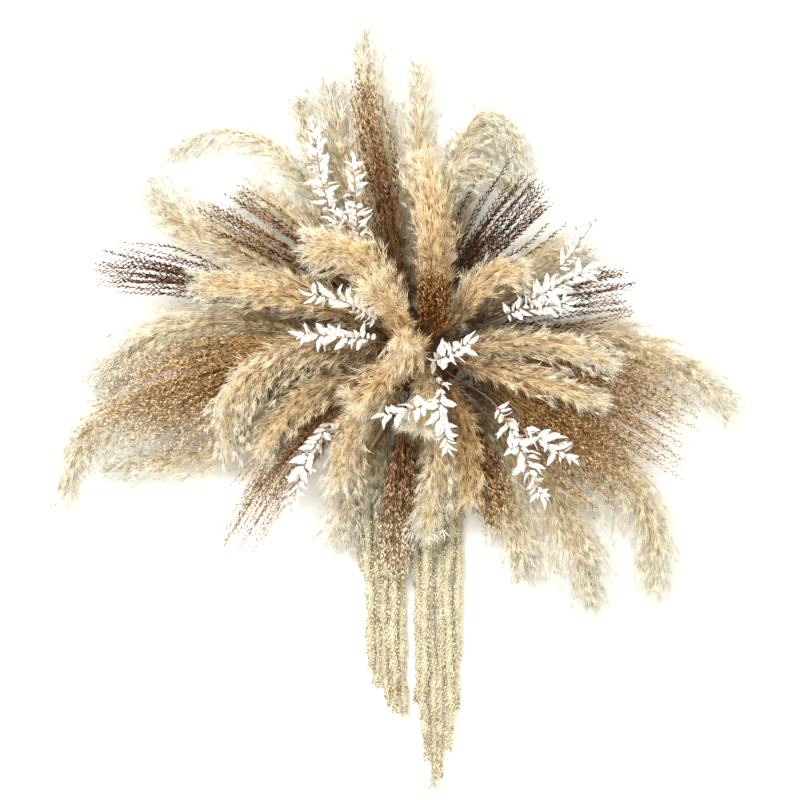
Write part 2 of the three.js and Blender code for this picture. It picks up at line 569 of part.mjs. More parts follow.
function build() {
  const spray = new THREE.Group();
  const add = (name, geometry, look) => {
    const mesh = new THREE.Mesh(geometry, new THREE.MeshStandardMaterial({ metalness: 0, ...look }));
    mesh.name = name;
    spray.add(mesh);
  };
  const firsts = [PLUMES.map((p) => p[2][0]), GRASSES.map((g) => g[3]), RUSCUS.map((r) => r[1][0])];
  const ways = seats([...firsts.flat(), ...AMARANTH.map((a) => a[1][0])]);
  const take = (rows, plan) => rows.map((row) => plan(row, ways.shift()));
  const plumes = take(PLUMES, planPlume);
  const grasses = take(GRASSES, planGrass);
  const sprigs = take(RUSCUS, planRuscus);
  const tassels = take(AMARANTH, planAmaranth);
  const plans = [...plumes, ...grasses, ...sprigs, ...tassels];
  const lanes = plans.flatMap((plan) => plan.lanes);
  for (const plan of plumes) {
    const neighbours = lanes.filter((l) => l.owner !== plan.name && l.box.intersectsBox(plan.own.box));
    add(plan.name, growPlume(plan, neighbours), FINISH.plume);
  }
  grasses.forEach((plan, i) => add(plan.name, growGrass(plan), { color: GRASSES[i][1], roughness: 0.85 }));
  for (const plan of sprigs) add(plan.name, growRuscus(plan), FINISH.ruscus);
  for (const plan of tassels) add(plan.name, growAmaranth(plan), FINISH.amaranth);
  add("foam_dome", foamDome(plans), FINISH.foam);
  return spray;
}

export default build();
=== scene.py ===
"""The looks of a spray of dried grasses that lies on its back: fluffy pampas plumes, fans of reed grass,
bleached ruscus sprigs, hanging amaranth tails, and the dry foam that holds their stems."""

import bmesh
import bpy
import numpy as np
from bpy.props import FloatProperty, FloatVectorProperty, IntProperty, PointerProperty
from mathutils import Matrix, Vector


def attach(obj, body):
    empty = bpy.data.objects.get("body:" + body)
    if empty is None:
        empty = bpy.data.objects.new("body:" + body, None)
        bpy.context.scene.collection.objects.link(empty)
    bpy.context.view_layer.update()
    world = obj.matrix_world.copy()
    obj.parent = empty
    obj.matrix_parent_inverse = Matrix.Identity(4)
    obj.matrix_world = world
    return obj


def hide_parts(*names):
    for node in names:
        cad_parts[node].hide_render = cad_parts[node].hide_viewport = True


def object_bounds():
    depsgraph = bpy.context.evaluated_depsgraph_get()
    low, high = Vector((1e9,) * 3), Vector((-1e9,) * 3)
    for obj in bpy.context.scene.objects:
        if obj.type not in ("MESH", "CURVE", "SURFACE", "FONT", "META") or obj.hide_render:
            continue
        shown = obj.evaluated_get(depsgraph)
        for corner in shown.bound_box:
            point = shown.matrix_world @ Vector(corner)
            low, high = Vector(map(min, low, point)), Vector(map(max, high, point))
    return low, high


bl_info = {
    "name": "Dried Pampas Spray",
    "version": (1, 0, 0),
    "blender": (4, 5, 0),
    "location": "3D View > Sidebar > Spray",
    "description": "Dresses the packed spray with fluff, spikelets, leaves and beads",
    "category": "Object",
}

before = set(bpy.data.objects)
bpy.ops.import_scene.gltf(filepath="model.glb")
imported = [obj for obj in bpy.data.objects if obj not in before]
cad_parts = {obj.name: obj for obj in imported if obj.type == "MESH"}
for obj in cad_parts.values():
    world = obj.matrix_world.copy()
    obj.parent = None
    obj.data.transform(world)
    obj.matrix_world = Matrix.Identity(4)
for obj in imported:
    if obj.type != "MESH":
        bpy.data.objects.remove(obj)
CAD_BOX = [list(corner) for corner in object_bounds()]

MM = 0.001
GOLDEN_ANGLE = 2.39996

# The foam dome, how deep a stem stands in it, how much further out a corner of its foot may lie, and how far
# past the foam its collar is, in metres.
FOAM_CENTRE = Vector((0, 0, 0.012))
FOAM_RADIUS = 0.058
STEM_SUNK = 0.024
FOOT_REACH = 0.002
COLLAR = 0.005

# Fluff above the first height bends over, and none of it passes the second. What is lower than the third lies
# down softly over the floor.
BENDS_OVER = 0.2
CEILING = CAD_BOX[1][2] + 0.01
LIES_DOWN = 0.012
SOFTLY = 1.6

# Plumes: half width of the head in mm, finish, how open the fluff is, how far its branches hang towards -Y,
# then the points on the axis from beside the foam out to the tip, in mm.
PLUMES = {
    "plume_back_01": (35, "pale", 0.3, 0, [(-25, 105, 40), (-55, 260, 38), (-70, 350, 32), (-75, 415, 24)]),
    "plume_back_02": (39, "pale", 0.3, 0, [(-47, 110, 36), (-92, 235, 38), (-112, 300, 32), (-125, 343, 24)]),
    "plume_back_03": (
        32, "pale", 0.4, 0,
        [(-75, 110, 38), (-130, 240, 36), (-150, 290, 30), (-162, 325, 22)],
    ),
    "plume_back_04": (30, "reed", 1, 0.6, [(-90, 95, 36), (-165, 240, 40), (-250, 288, 36), (-333, 255, 20)]),
    "plume_back_05": (39, "pale", 0.1, 0, [(-88, 72, 40), (-150, 160, 46), (-195, 195, 40), (-230, 205, 28)]),
    "plume_back_06": (
        48, "pale", 0.2, 0,
        [(-100, 48, 40), (-215, 125, 44), (-312, 165, 36), (-352, 212, 24)],
    ),
    "plume_back_07": (
        48, "pale", 0.2, 0.2,
        [(-108, 12, 40), (-234, 38, 44), (-350, 18, 36), (-418, -36, 22)],
    ),
    "plume_back_08": (
        40, "pale", 0.3, 0.3,
        [(-106, -22, 38), (-280, -62, 42), (-400, -78, 34), (-446, -124, 26), (-464, -190, 16)],
    ),
    "plume_back_09": (
        35, "pale", 0.3, 0.1,
        [(-95, -56, 38), (-220, -118, 38), (-325, -142, 30), (-402, -155, 20)],
    ),
    "plume_back_10": (39, "pale", 0.4, 0, [(-45, -95, 40), (-82, -160, 40), (-104, -250, 22)]),
    "plume_back_11": (43, "pale", 0.4, 0, [(46, -94, 38), (98, -174, 38), (124, -236, 30), (139, -292, 20)]),
    "plume_back_12": (52, "pale", 0.3, 0, [(76, -72, 40), (163, -165, 42), (206, -248, 34), (221, -328, 22)]),
    "plume_back_13": (
        49, "pale", 0.3, 0.2,
        [(98, -42, 40), (224, -124, 42), (298, -206, 34), (303, -310, 20)],
    ),
    "plume_back_14": (47, "pale", 0.3, 0.3, [(106, 2, 40), (246, 14, 46), (338, -18, 38), (405, -75, 24)]),
    "plume_back_15": (44, "pale", 0.1, 0, [(92, 54, 40), (142, 112, 52), (178, 136, 46), (206, 112, 30)]),
    "plume_back_16": (
        40, "reed", 0.6, 1.0,
        [(52, 98, 36), (42, 240, 38), (84, 312, 36), (122, 286, 30), (131, 236, 22)],
    ),
    "plume_back_17": (31, "pale", 0.4, 0, [(8, 112, 36), (-2, 260, 38), (-1, 372, 24)]),
    "plume_front_01": (29, "reed", 0.6, 0.3, [(24, 84, 78), (20, 190, 92), (60, 240, 88), (118, 214, 66)]),
    "plume_front_02": (40, "honey", 0, 0, [(14, 60, 112), (20, 132, 142), (16, 192, 140), (4, 238, 122)]),
    "plume_front_03": (39, "ash", 0, 0.1, [(-66, 38, 92), (-168, 74, 112), (-284, 86, 84)]),
    "plume_front_04": (
        40, "cream", 0, 0.6,
        [(-62, 4, 104), (-152, 8, 138), (-228, -34, 122), (-252, -78, 98), (-252, -116, 80)],
    ),
    "plume_front_05": (
        34, "ash", 0, 0.1,
        [(-58, -28, 92), (-128, -48, 104), (-180, -84, 92), (-204, -126, 76)],
    ),
    "plume_front_06": (
        39, "cream", 0, 0,
        [(-38, -48, 106), (-74, -78, 122), (-96, -120, 110), (-106, -170, 80)],
    ),
    "plume_front_07": (34, "pale", 0, 0, [(16, -60, 92), (24, -120, 104), (18, -176, 88), (8, -230, 64)]),
    "plume_front_08": (28, "gold", 0, 0, [(42, -56, 88), (60, -116, 98), (62, -192, 76)]),
    "plume_front_09": (26, "ash", 0, 0.1, [(62, -18, 100), (142, -38, 112), (230, -66, 98)]),
    "plume_front_10": (32, "cream", 0, 0.1, [(64, 4, 104), (152, 10, 120), (242, -14, 104)]),
    "plume_front_11": (31, "ash", 0, 0, [(44, 38, 112), (72, 82, 140), (98, 104, 142), (128, 96, 124)]),
    "plume_front_12": (45, "ash", 0, 0, [(-34, 44, 112), (-56, 100, 146), (-94, 132, 148), (-134, 124, 128)]),
    "plume_crown_01": (34, "gold", 0, 0, [(-22, 24, 128), (-38, 58, 172), (-62, 80, 192)]),
    "plume_crown_02": (34, "gold", 0, 0, [(-24, -18, 120), (-52, -40, 152), (-82, -66, 160)]),
    "plume_crown_03": (32, "ash", 0, 0, [(4, -34, 120), (8, -66, 148), (0, -100, 150)]),
    "plume_crown_04": (28, "gold", 0, 0.9, [(-6, 2, 130), (-14, 8, 180), (-26, 10, 222)]),
}

# Fans of reed grass: finish, stalks that bear seeds, how far they pale towards their tips, half spread of the
# fan at its tips, where the fan opens and where it ends, in mm.
GRASSES = {
    "grass_01": ("red_brown", 17, 0.7, 27, (-36, 140, 84), (-76, 360, 72)),
    "grass_02": ("dark", 27, 0.3, 62, (52, 108, 92), (152, 214, 92)),
    "grass_03": ("rust", 19, 0.25, 42, (-122, 108, 92), (-276, 192, 88)),
    "grass_04": ("deep_brown", 24, 0.4, 38, (-262, 92, 66), (-416, 112, 80)),
    "grass_05": ("golden", 84, 1, 54, (-180, 4, 96), (-440, -56, 84)),
    "grass_06": ("golden", 50, 1.1, 54, (-188, -26, 84), (-384, -100, 64)),
    "grass_07": ("rust", 54, 1.3, 38, (-100, -62, 76), (-254, -222, 50)),
    "grass_08": ("rust", 38, 1.15, 28, (-22, -88, 76), (-38, -300, 44)),
    "grass_09": ("grey_brown", 20, 0.4, 40, (152, 66, 88), (274, 80, 82)),
    "grass_10": ("golden", 112, 0.8, 78, (140, -26, 88), (352, -76, 82)),
    "grass_11": ("golden", 92, 0.7, 70, (116, -54, 88), (276, -150, 80)),
    "grass_12": ("brown", 38, 0.8, 30, (58, -92, 80), (102, -226, 66)),
    "grass_13": ("orange_brown", 30, 0.5, 22, (14, 12, 116), (20, 100, 194)),
}

# Ruscus sprigs: the main twig's points, then the side twig's points if it forks, in mm.
RUSCUS = {
    "ruscus_01": ([(-74, 130, 108), (-82, 180, 128), (-86, 238, 130)], [(-78, 156, 118), (-102, 170, 126)]),
    "ruscus_02": ([(-104, 150, 86), (-126, 214, 96), (-138, 288, 82)], None),
    "ruscus_03": ([(-56, 36, 152), (-96, 60, 182), (-138, 70, 180)], None),
    "ruscus_04": ([(-62, 12, 150), (-106, 16, 168), (-150, 20, 164)], None),
    "ruscus_05": ([(16, -14, 130), (36, -8, 168), (62, 8, 188)], None),
    "ruscus_06": ([(-114, -94, 84), (-146, -142, 84), (-168, -200, 74)], None),
    "ruscus_07": (
        [(28, -40, 140), (24, -84, 170), (36, -122, 160)],
        [(26, -60, 160), (-12, -78, 186), (-44, -84, 186)],
    ),
    "ruscus_08": (
        [(98, -72, 104), (130, -130, 112), (156, -190, 100)],
        [(112, -90, 108), (150, -112, 114), (190, -138, 106)],
    ),
    "ruscus_09": (
        [(112, 44, 104), (168, 78, 112), (222, 104, 106)],
        [(124, 46, 106), (154, 54, 112), (188, 60, 110)],
    ),
    "ruscus_10": ([(180, 106, 96), (206, 138, 92), (226, 168, 84)], None),
}

# Amaranth bunches: where the stem comes out and droops, the lowest y of the strand that it runs on as, then
# the x and the lowest y of every other strand's tip, in mm.
AMARANTH = {
    "amaranth_left": (
        [(-44, -96, 12), (-44, -150, 9)],
        -464,
        [(-77, -290), (-66, -418), (-57, -440), (-33, -474), (-23, -478)],
    ),
    "amaranth_right": (
        [(17, -100, 12), (17, -150, 9)],
        -572,
        [(-2, -462), (7, -536), (28, -560), (38, -524), (49, -470)],
    ),
}


def ink(code):
    """A colour written as six hex digits, as the linear values that Blender works in."""
    shares = [int(code[i : i + 2], 16) / 255 for i in (0, 2, 4)]
    return tuple(s / 12.92 if s <= 0.04045 else ((s + 0.055) / 1.055) ** 2.4 for s in shares)


# Finishes of the plumes and of the grasses: the colour at the root, halfway, and at the tips.
PLUME_INKS = {
    "pale": ("9A6C30", "F5E4B8", "FDFAEE"),
    "cream": ("76420E", "FBE6BA", "FFFAEC"),
    "gold": ("70380A", "F7D394", "FDF0D0"),
    "honey": ("703A0E", "F6D9A2", "FCF3DA"),
    "ash": ("703E10", "F9DFAC", "FCF5E0"),
    "reed": ("9A723A", "F0E5C4", "FCFAEE"),
}
GRASS_INKS = {
    "red_brown": ("44200F", "A87C54", "F4E0B8"),
    "dark": ("2C1408", "744A2C", "D8B890"),
    "rust": ("3E1A0C", "AA7E58", "F6E6C6"),
    "deep_brown": ("341A0C", "825634", "D6B48C"),
    "golden": ("563418", "CEA66E", "FAEFD4"),
    "grey_brown": ("3A2018", "92704C", "E6D0AA"),
    "brown": ("462410", "B68852", "F0DCB0"),
    "orange_brown": ("48200A", "A4703C", "E4C08A"),
}


# Lines and directions

# Steps from one given point of a curve to the next, places on a finished line, the least that a vector is
# divided by, and how much of a line's end may point up or down with its side still level there.
SPLINE_STEPS = 24
LINE_POINTS = 161
SHORTEST = 1e-12
NEARLY_UPRIGHT = 0.95


def unit(rows):
    """Rows of vectors, each one unit long."""
    return rows / np.maximum(np.linalg.norm(rows, axis=-1, keepdims=True), SHORTEST)


def spline(points, count=LINE_POINTS):
    """Evenly spaced places on the smooth curve through the given points."""
    p = np.array([tuple(q) for q in points], float)
    p = np.vstack([2 * p[0] - p[1], p, 2 * p[-1] - p[-2]])
    gaps = np.sqrt(np.linalg.norm(np.diff(p, axis=0), axis=1))
    t = np.linspace(0, 1, SPLINE_STEPS, endpoint=False)[:, None]
    rows = []
    for i in range(1, len(p) - 2):
        before, here, after = gaps[i - 1 : i + 2]
        back, step, on = p[i] - p[i - 1], p[i + 1] - p[i], p[i + 2] - p[i + 1]
        start = (back / before - (p[i + 1] - p[i - 1]) / (before + here) + step / here) * here
        end = (step / here - (p[i + 2] - p[i]) / (here + after) + on / after) * here
        rows.append(p[i] + t * start + t**2 * (3 * step - 2 * start - end) + t**3 * (start + end - 2 * step))
    fine = np.vstack([*rows, p[-2:-1]])
    along = np.concatenate([[0], np.cumsum(np.linalg.norm(np.diff(fine, axis=0), axis=1))])
    shares = np.linspace(0, along[-1], count)
    return np.stack([np.interp(shares, along, fine[:, k]) for k in range(3)], axis=1)


def directions(points):
    """Forward along a row of points, with side and up square to it. Side is level at the row's end."""
    forward = unit(np.gradient(points, axis=0))
    level = np.array([0, 1.0, 0]) if abs(forward[-1][2]) > NEARLY_UPRIGHT else np.array([0, 0, 1.0])
    side = np.cross(level, forward[-1])
    sides = np.empty_like(points)
    for i in reversed(range(len(points))):
        side = unit(side - (side @ forward[i]) * forward[i])
        sides[i] = side
    return forward, sides, np.cross(forward, sides)


class Course:
    """A stem's line, with the directions along it."""

    def __init__(self, points):
        self.points = spline(points)
        self.length = np.linalg.norm(np.diff(self.points, axis=0), axis=1).sum()
        self.rows = (self.points, *directions(self.points))

    def at(self, shares):
        """Places and directions at shares of the length. Past 1 the line runs on straight."""
        shares = np.asarray(shares, float)
        u = np.clip(shares, 0, 1) * (len(self.points) - 1)
        low = np.minimum(u.astype(int), len(self.points) - 2)
        t = (u - low)[..., None]
        place, forward, side, up = (rows[low] * (1 - t) + rows[low + 1] * t for rows in self.rows)
        past = np.maximum(shares - 1, 0)[..., None] * self.length
        return place + past * self.rows[1][-1], unit(forward), unit(side), unit(up)


def root_of(node):
    """Where a node's stem ends in its hole, and where it comes out of the foam."""
    arms = [v.co - FOAM_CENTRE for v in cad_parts[node].data.vertices]
    inner = [arm for arm in arms if arm.length < FOAM_RADIUS - STEM_SUNK + FOOT_REACH]
    foot = FOAM_CENTRE + sum(inner, Vector()) / len(inner)
    way = (foot - FOAM_CENTRE).normalized()
    return [foot, FOAM_CENTRE + way * (FOAM_RADIUS + COLLAR)]


def in_metres(points):
    """Points given in mm, as vectors in metres."""
    return [Vector(p) * MM for p in points]


def smooth(t):
    """A step from 0 to 1 that starts and ends gently."""
    t = np.clip(t, 0, 1)
    return t * t * (3 - 2 * t)


def draws_for(name, table, first_seed):
    """A node's own random draws, seeded by its place in its table."""
    return np.random.default_rng(first_seed + list(table).index(name))


# Small shapes, each made once and repeated

# Corners as near as this are one.
MERGED_WITHIN = 1e-7

# A tuft one unit long: how long and how thick its hairs are, how far they stray from even turns, how they are
# rolled, and how far their feet part to the sides and along the tuft.
TUFT_HAIRS = (0.5, 0.85)
TUFT_RADII = (0.4, 0.6)
TUFT_STRAY = 0.4
TUFT_ROLL = 6
TUFT_FEET = 0.05
TUFT_LINE = 0.45

# A spikelet one unit long: its point, and the blunter end below it.
SPIKELET_POINT = 0.65
SPIKELET_BASE = 0.35
FACES_DOWN = -0.9

# A leaf one unit long: corners round it, half its width, what moves its fullest part towards the stalk, what
# sharpens its ends, its fold, its arch, its droop and its thickness.
LEAF_CORNERS = 10
LEAF_HALF = 0.2
LEAF_FULLEST = 0.8
LEAF_POINTED = 1.25
LEAF_FOLD = 0.3
LEAF_ARCH = 0.35
LEAF_DROOP = 0.12
LEAF_THICK = 0.022


def arrays_of(bm):
    """A finished shape as its corners and triangles."""
    bmesh.ops.remove_doubles(bm, verts=bm.verts, dist=MERGED_WITHIN)
    bmesh.ops.triangulate(bm, faces=bm.faces)
    bmesh.ops.recalc_face_normals(bm, faces=bm.faces)
    bm.verts.index_update()
    corners = np.array([tuple(v.co) for v in bm.verts])
    triangles = np.array([[v.index for v in f.verts] for f in bm.faces])
    bm.free()
    return corners, triangles


def pointing(direction, roll):
    """A turn that takes +Z to a direction, after a roll about itself."""
    return Vector(direction).to_track_quat("Z", "Y").to_matrix().to_4x4() @ Matrix.Rotation(roll, 4, "Z")


def tuft(seed, hairs, spread, width):
    """Fine hairs that part from a short line, about one unit long in all."""
    draw = np.random.default_rng(seed)
    bm = bmesh.new()
    for k in range(hairs):
        length = draw.uniform(*TUFT_HAIRS)
        radius = width * draw.uniform(*TUFT_RADII)
        made = bmesh.ops.create_cone(bm, cap_ends=True, segments=3, radius1=radius, radius2=0, depth=length)
        angle = k * GOLDEN_ANGLE + draw.uniform(-TUFT_STRAY, TUFT_STRAY)
        off = spread * np.sqrt((k + 0.5) / hairs)
        lean = pointing((off * np.cos(angle), off * np.sin(angle), 1), draw.uniform(0, TUFT_ROLL))
        foot = (TUFT_FEET * np.cos(angle), TUFT_FEET * np.sin(angle), TUFT_LINE * k / hairs)
        place = Matrix.Translation(foot) @ lean @ Matrix.Translation((0, 0, length / 2))
        bmesh.ops.transform(bm, matrix=place, verts=made["verts"])
    return arrays_of(bm)


def spikelet(width, sides):
    """A grass seed or a bead, pointed at both ends and one unit long."""
    bm = bmesh.new()
    bmesh.ops.create_cone(
        bm, cap_ends=True, segments=sides, radius1=width / 2, radius2=0, depth=SPIKELET_POINT
    )
    cap = [f for f in bm.faces if f.normal.z < FACES_DOWN]
    bmesh.ops.poke(bm, faces=cap, offset=SPIKELET_BASE)
    bmesh.ops.translate(bm, vec=(0, 0, SPIKELET_BASE + SPIKELET_POINT / 2), verts=bm.verts)
    return arrays_of(bm)


def leaf():
    """A pointed oval leaf along +Z, arched and folded along its middle, one unit long."""
    bm = bmesh.new()
    bmesh.ops.create_circle(bm, cap_ends=True, cap_tris=True, segments=LEAF_CORNERS, radius=0.5)
    bmesh.ops.rotate(bm, matrix=Matrix.Rotation(np.pi / 2, 3, "Z"), verts=bm.verts)
    for v in bm.verts:
        along = v.co.y + 0.5
        hand = np.sign(round(v.co.x, 6))
        wide = LEAF_HALF * np.sin(np.pi * along**LEAF_FULLEST) ** LEAF_POINTED * hand
        arch = LEAF_ARCH * along * (1 - along) - LEAF_DROOP * along
        v.co = Vector((wide, LEAF_FOLD * abs(wide) + arch, along))
    bmesh.ops.solidify(bm, geom=bm.faces[:], thickness=LEAF_THICK)
    return arrays_of(bm)


def tube(points, radii, sides):
    """A closed tube along a row of points, drawn to a point at its end."""
    forward, side, up = directions(np.asarray(points, float))
    turns = []
    for p, f, s, u, r in zip(points, forward, side, up, radii):
        turn = Matrix((s * r, u * r, f * r)).transposed().to_4x4()
        turn.translation = Vector(p)
        turns.append(turn)
    bm = bmesh.new()
    ring = bmesh.ops.create_circle(bm, cap_ends=True, segments=sides, radius=1)["verts"]
    edges = bm.edges[:]
    bmesh.ops.transform(bm, matrix=turns[0], verts=ring)
    for before, after in zip(turns, turns[1:]):
        grown = bmesh.ops.extrude_edge_only(bm, edges=edges)["geom"]
        ring = [g for g in grown if isinstance(g, bmesh.types.BMVert)]
        edges = [g for g in grown if isinstance(g, bmesh.types.BMEdge) and g.is_boundary]
        bmesh.ops.transform(bm, matrix=after @ before.inverted(), verts=ring)
    bmesh.ops.pointmerge(bm, verts=ring, merge_co=turns[-1].translation)
    return arrays_of(bm)


# Copies and pieces

# Every corner carries two values for its colour. The tip value runs from 0 for the colour at the root to 1
# for the colour at the tip. The tone is darker below 0.5 and lighter above it. A look is one of each.

# A way counts as upright once this much of it is up or down.
UPRIGHT = 0.9


def stamped(shape, at, forward, length, roll, tip, tone):
    """Copies of a small shape, each from its place along its direction, with tip and tone for the colour."""
    corners, triangles = shape
    forward = unit(forward)
    other = np.where(np.abs(forward[:, 2:]) < UPRIGHT, [[0, 0, 1.0]], [[1.0, 0, 0]])
    side = unit(np.cross(other, forward))
    up = np.cross(forward, side)
    c, s = np.cos(roll)[:, None], np.sin(roll)[:, None]
    turn = np.stack([side * c + up * s, up * c - side * s, forward], axis=1) * length[:, None, None]
    co = np.einsum("nij,vi->nvj", turn, corners) + at[:, None, :]
    faces = triangles[None] + (np.arange(len(at)) * len(corners))[:, None, None]
    tips = tip[:, 0:1] + (tip[:, 1:2] - tip[:, 0:1]) * corners[None, :, 2]
    tones = np.repeat(tone[:, None], len(corners), axis=1)
    return co.reshape(-1, 3), faces.reshape(-1, 3), tips.ravel(), tones.ravel()


def plain(shape, tip, tone):
    """One shape as it is, with one tip value and one tone all over."""
    corners, triangles = shape
    return corners, triangles, np.full(len(corners), tip), np.full(len(corners), tone)


def graded(shape, sides, tips, tone):
    """A tube as it is, with a tip value for each of its rings."""
    corners, triangles = shape
    values = np.append(np.repeat(tips[:-1], sides), tips[-1])
    return corners, triangles, values, np.full(len(corners), tone)


def kept_between(z):
    """Heights with what is too low lifted off the floor and what is too high bent over."""
    low, room = np.minimum(z - LIES_DOWN, 0), CEILING - BENDS_OVER
    lifted = np.where(z < LIES_DOWN, LIES_DOWN * np.exp(low / (SOFTLY * LIES_DOWN)), z)
    return np.minimum(lifted, BENDS_OVER) + room * (1 - np.exp(-np.maximum(z - BENDS_OVER, 0) / room))


def assemble(name, parts, material, node):
    """One finished piece out of parts, in the place of a CAD node."""
    starts = np.cumsum([0] + [len(p[0]) for p in parts[:-1]])
    co = np.vstack([p[0] for p in parts])
    co[:, 2] = kept_between(co[:, 2])
    faces = np.vstack([p[1] + start for p, start in zip(parts, starts)])
    mesh = bpy.data.meshes.new(name)
    mesh.vertices.add(len(co))
    mesh.vertices.foreach_set("co", co.ravel())
    mesh.loops.add(faces.size)
    mesh.loops.foreach_set("vertex_index", faces.ravel())
    mesh.polygons.add(len(faces))
    mesh.polygons.foreach_set("loop_start", np.arange(0, faces.size, 3))
    for label, k in (("tip", 2), ("tone", 3)):
        values = np.concatenate([p[k] for p in parts]).astype(np.float32)
        mesh.attributes.new(label, "FLOAT", "POINT").data.foreach_set("value", values)
    mesh.polygons.foreach_set("use_smooth", np.ones(len(faces), bool))
    mesh.update(calc_edges=True)
    mesh.validate()
    mesh.materials.append(material)
    piece = bpy.data.objects.new(name, mesh)
    bpy.context.scene.collection.objects.link(piece)
    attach(piece, "root")
    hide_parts(node)
    return piece


# Plumes

# Shares of a head run from its foot to its tip, and shares of a side branch from the axis outwards.

PLUME_SEED = 1000

# A head's outline: where it is full, where it rounds off, its widths at the foot and at the tip, and where a
# tapering head starts to narrow and how soon it has narrowed.
FULL_FROM = 0.3
ROUNDS_FROM = 0.45
FOOT_WIDTH = 0.5
TIP_WIDTH = 0.12
TAPERS_FROM = 0.6
TAPER_RATE = 2.5

# For each ring of plumes: bare stalk past the collar in metres, how much of the taper it takes, the tip
# value at the axis by the foot, and how much that rises to the head's tip.
RINGS = {
    "back": (0.002, 1, -0.2, 0.92),
    "front": (0.01, 0.8, -0.16, 0.58),
    "crown": (0.01, 0, 0.16, 0.42),
}

# The stem: half widths at its foot and collar, the least on the inner stalk, its rings and sides there, and
# its tip value and tone.
STEM_RADII = (0.0019, 0.0018)
CORE_LEAST = 0.0012
CORE_RINGS = 18
STEM_SIDES = 7
STEM_LOOK = (0.25, 0.4)

# Side branches: the head's length that their number is given for, how many fewer an airy head has, where
# the last one starts, how far they stray from even turns, how far out they reach, the least way and the
# spread of their way forwards, which way they hang, the middle of their curve, how far past the tip they
# run, and their tones.
COUNTED_ON = 0.25
AIRY_BRANCHES = 0.4
LAST_BRANCH = 0.97
TURN_STRAY = 0.6
REACH_LEAST = 0.6
REACH_LESS = 0.25
AHEAD_LEAST = 0.016
AHEAD_SPREAD = (0.75, 1.3)
HANG_WAY = (0, -1.0, -0.2)
BRANCH_MIDDLE = (0.4, 0.62, 0.1)
PAST_TIP = 1.03
BRANCH_TONES = (0.2, 0.8)

# Deep in the spray, on a back head's first part, branches spread at once and are darker with painted shade.
DEEP_UNTIL = 0.25
DEEP_AHEAD = 0.72
DEEP_PAINTED_SHADE = 0.8

# What the tip value of a hair gains at the head's sides, out along its branch, by chance, along the hair
# itself and along the head.
TIP_SIDES = 0.38
TIP_OUTWARDS = 0.34
TIP_CHANCE = 0.15
TIP_HAIR = 0.26
TIP_HEAD = 0.32

# The bare wood of a branch: shares of it, with its half widths and tip values there, and its sides.
TWIG_AT = (0.05, 0.5, 0.95)
TWIG_RADII = (1, 0.8, 0.2)
TWIG_TIPS = (0, 0.15, 0.3)
TWIG_TIP = 0.1
TWIG_PALES = 0.35
TWIG_SIDES = 3

# Fluff on the branches: how many fewer tufts airy heads have, the fewest on a branch, where they start, how
# far their feet stray, which way they droop, their lengths, the spread of their tones, and their roll.
PER_SQUARE_METRE = 1e4
AIRY_TUFTS = 0.3
AIRIEST_TUFTS = 0.4
FEWEST_TUFTS = 5
FLUFF_FROM = 0.1
FUZZ_FOOT = 1.2
FUZZ_LESS = 0.7
DROOP_WAY = (0, -1.0, -0.1)
DROOP_FLUFF = 0.6
FLUFF_SIZES = (0.6, 1.25)
FLUFF_FOOT = 1.05
FLUFF_LESS = 0.25
FLUFF_TONES = 0.18
FLUFF_ROLL = 6.3

# The mantle of short fluff over the inner stalk: where it ends, how deep its feet lie, how far it points
# out, its lengths, and its tip values and tones.
MANTLE_UNTIL = 0.98
MANTLE_INNER = 0.7
MANTLE_OUTER = 0.45
MANTLE_OUT = 0.7
MANTLE_SIZES = (0.6, 1.1)
MANTLE_TIP = 0.04
MANTLE_CHANCE = 0.07
MANTLE_PALES = 0.28
MANTLE_TONES = (0.5, 0.14)

# Thin wisps take the place of tufts towards the ends of the branches, and of a few in the mantle.
WISPS_FROM = 0.45
WISPS_RATE = 2.2
WISPS_MOST = 0.85
MANTLE_WISPS = 0.15

# Dark seeds on the heads at the back: where they start, how far they stray, their lengths and looks.
# Their darkness is partly their own and partly painted shade for the side of a seed turned from the light.
SEEDS_FROM = 0.55
SEEDS_STRAY = 0.3
SEEDS_SIZES = (0.0035, 0.006)
SEEDS_TIPS = (0.1, 0.3)
SEEDS_TONES_AND_SHADE = (-0.5, 0.1)


def head_width(half, u, foot_width=FOOT_WIDTH):
    """The outline of a plume's head from where the fluff starts, at a share of its width, to its tip."""
    past = np.clip((u - ROUNDS_FROM) / (1 - ROUNDS_FROM), 0, 1)
    opened = foot_width + (1 - foot_width) * smooth(u / FULL_FROM)
    return half * opened * (TIP_WIDTH + (1 - TIP_WIDTH) * np.sqrt(1 - past * past))


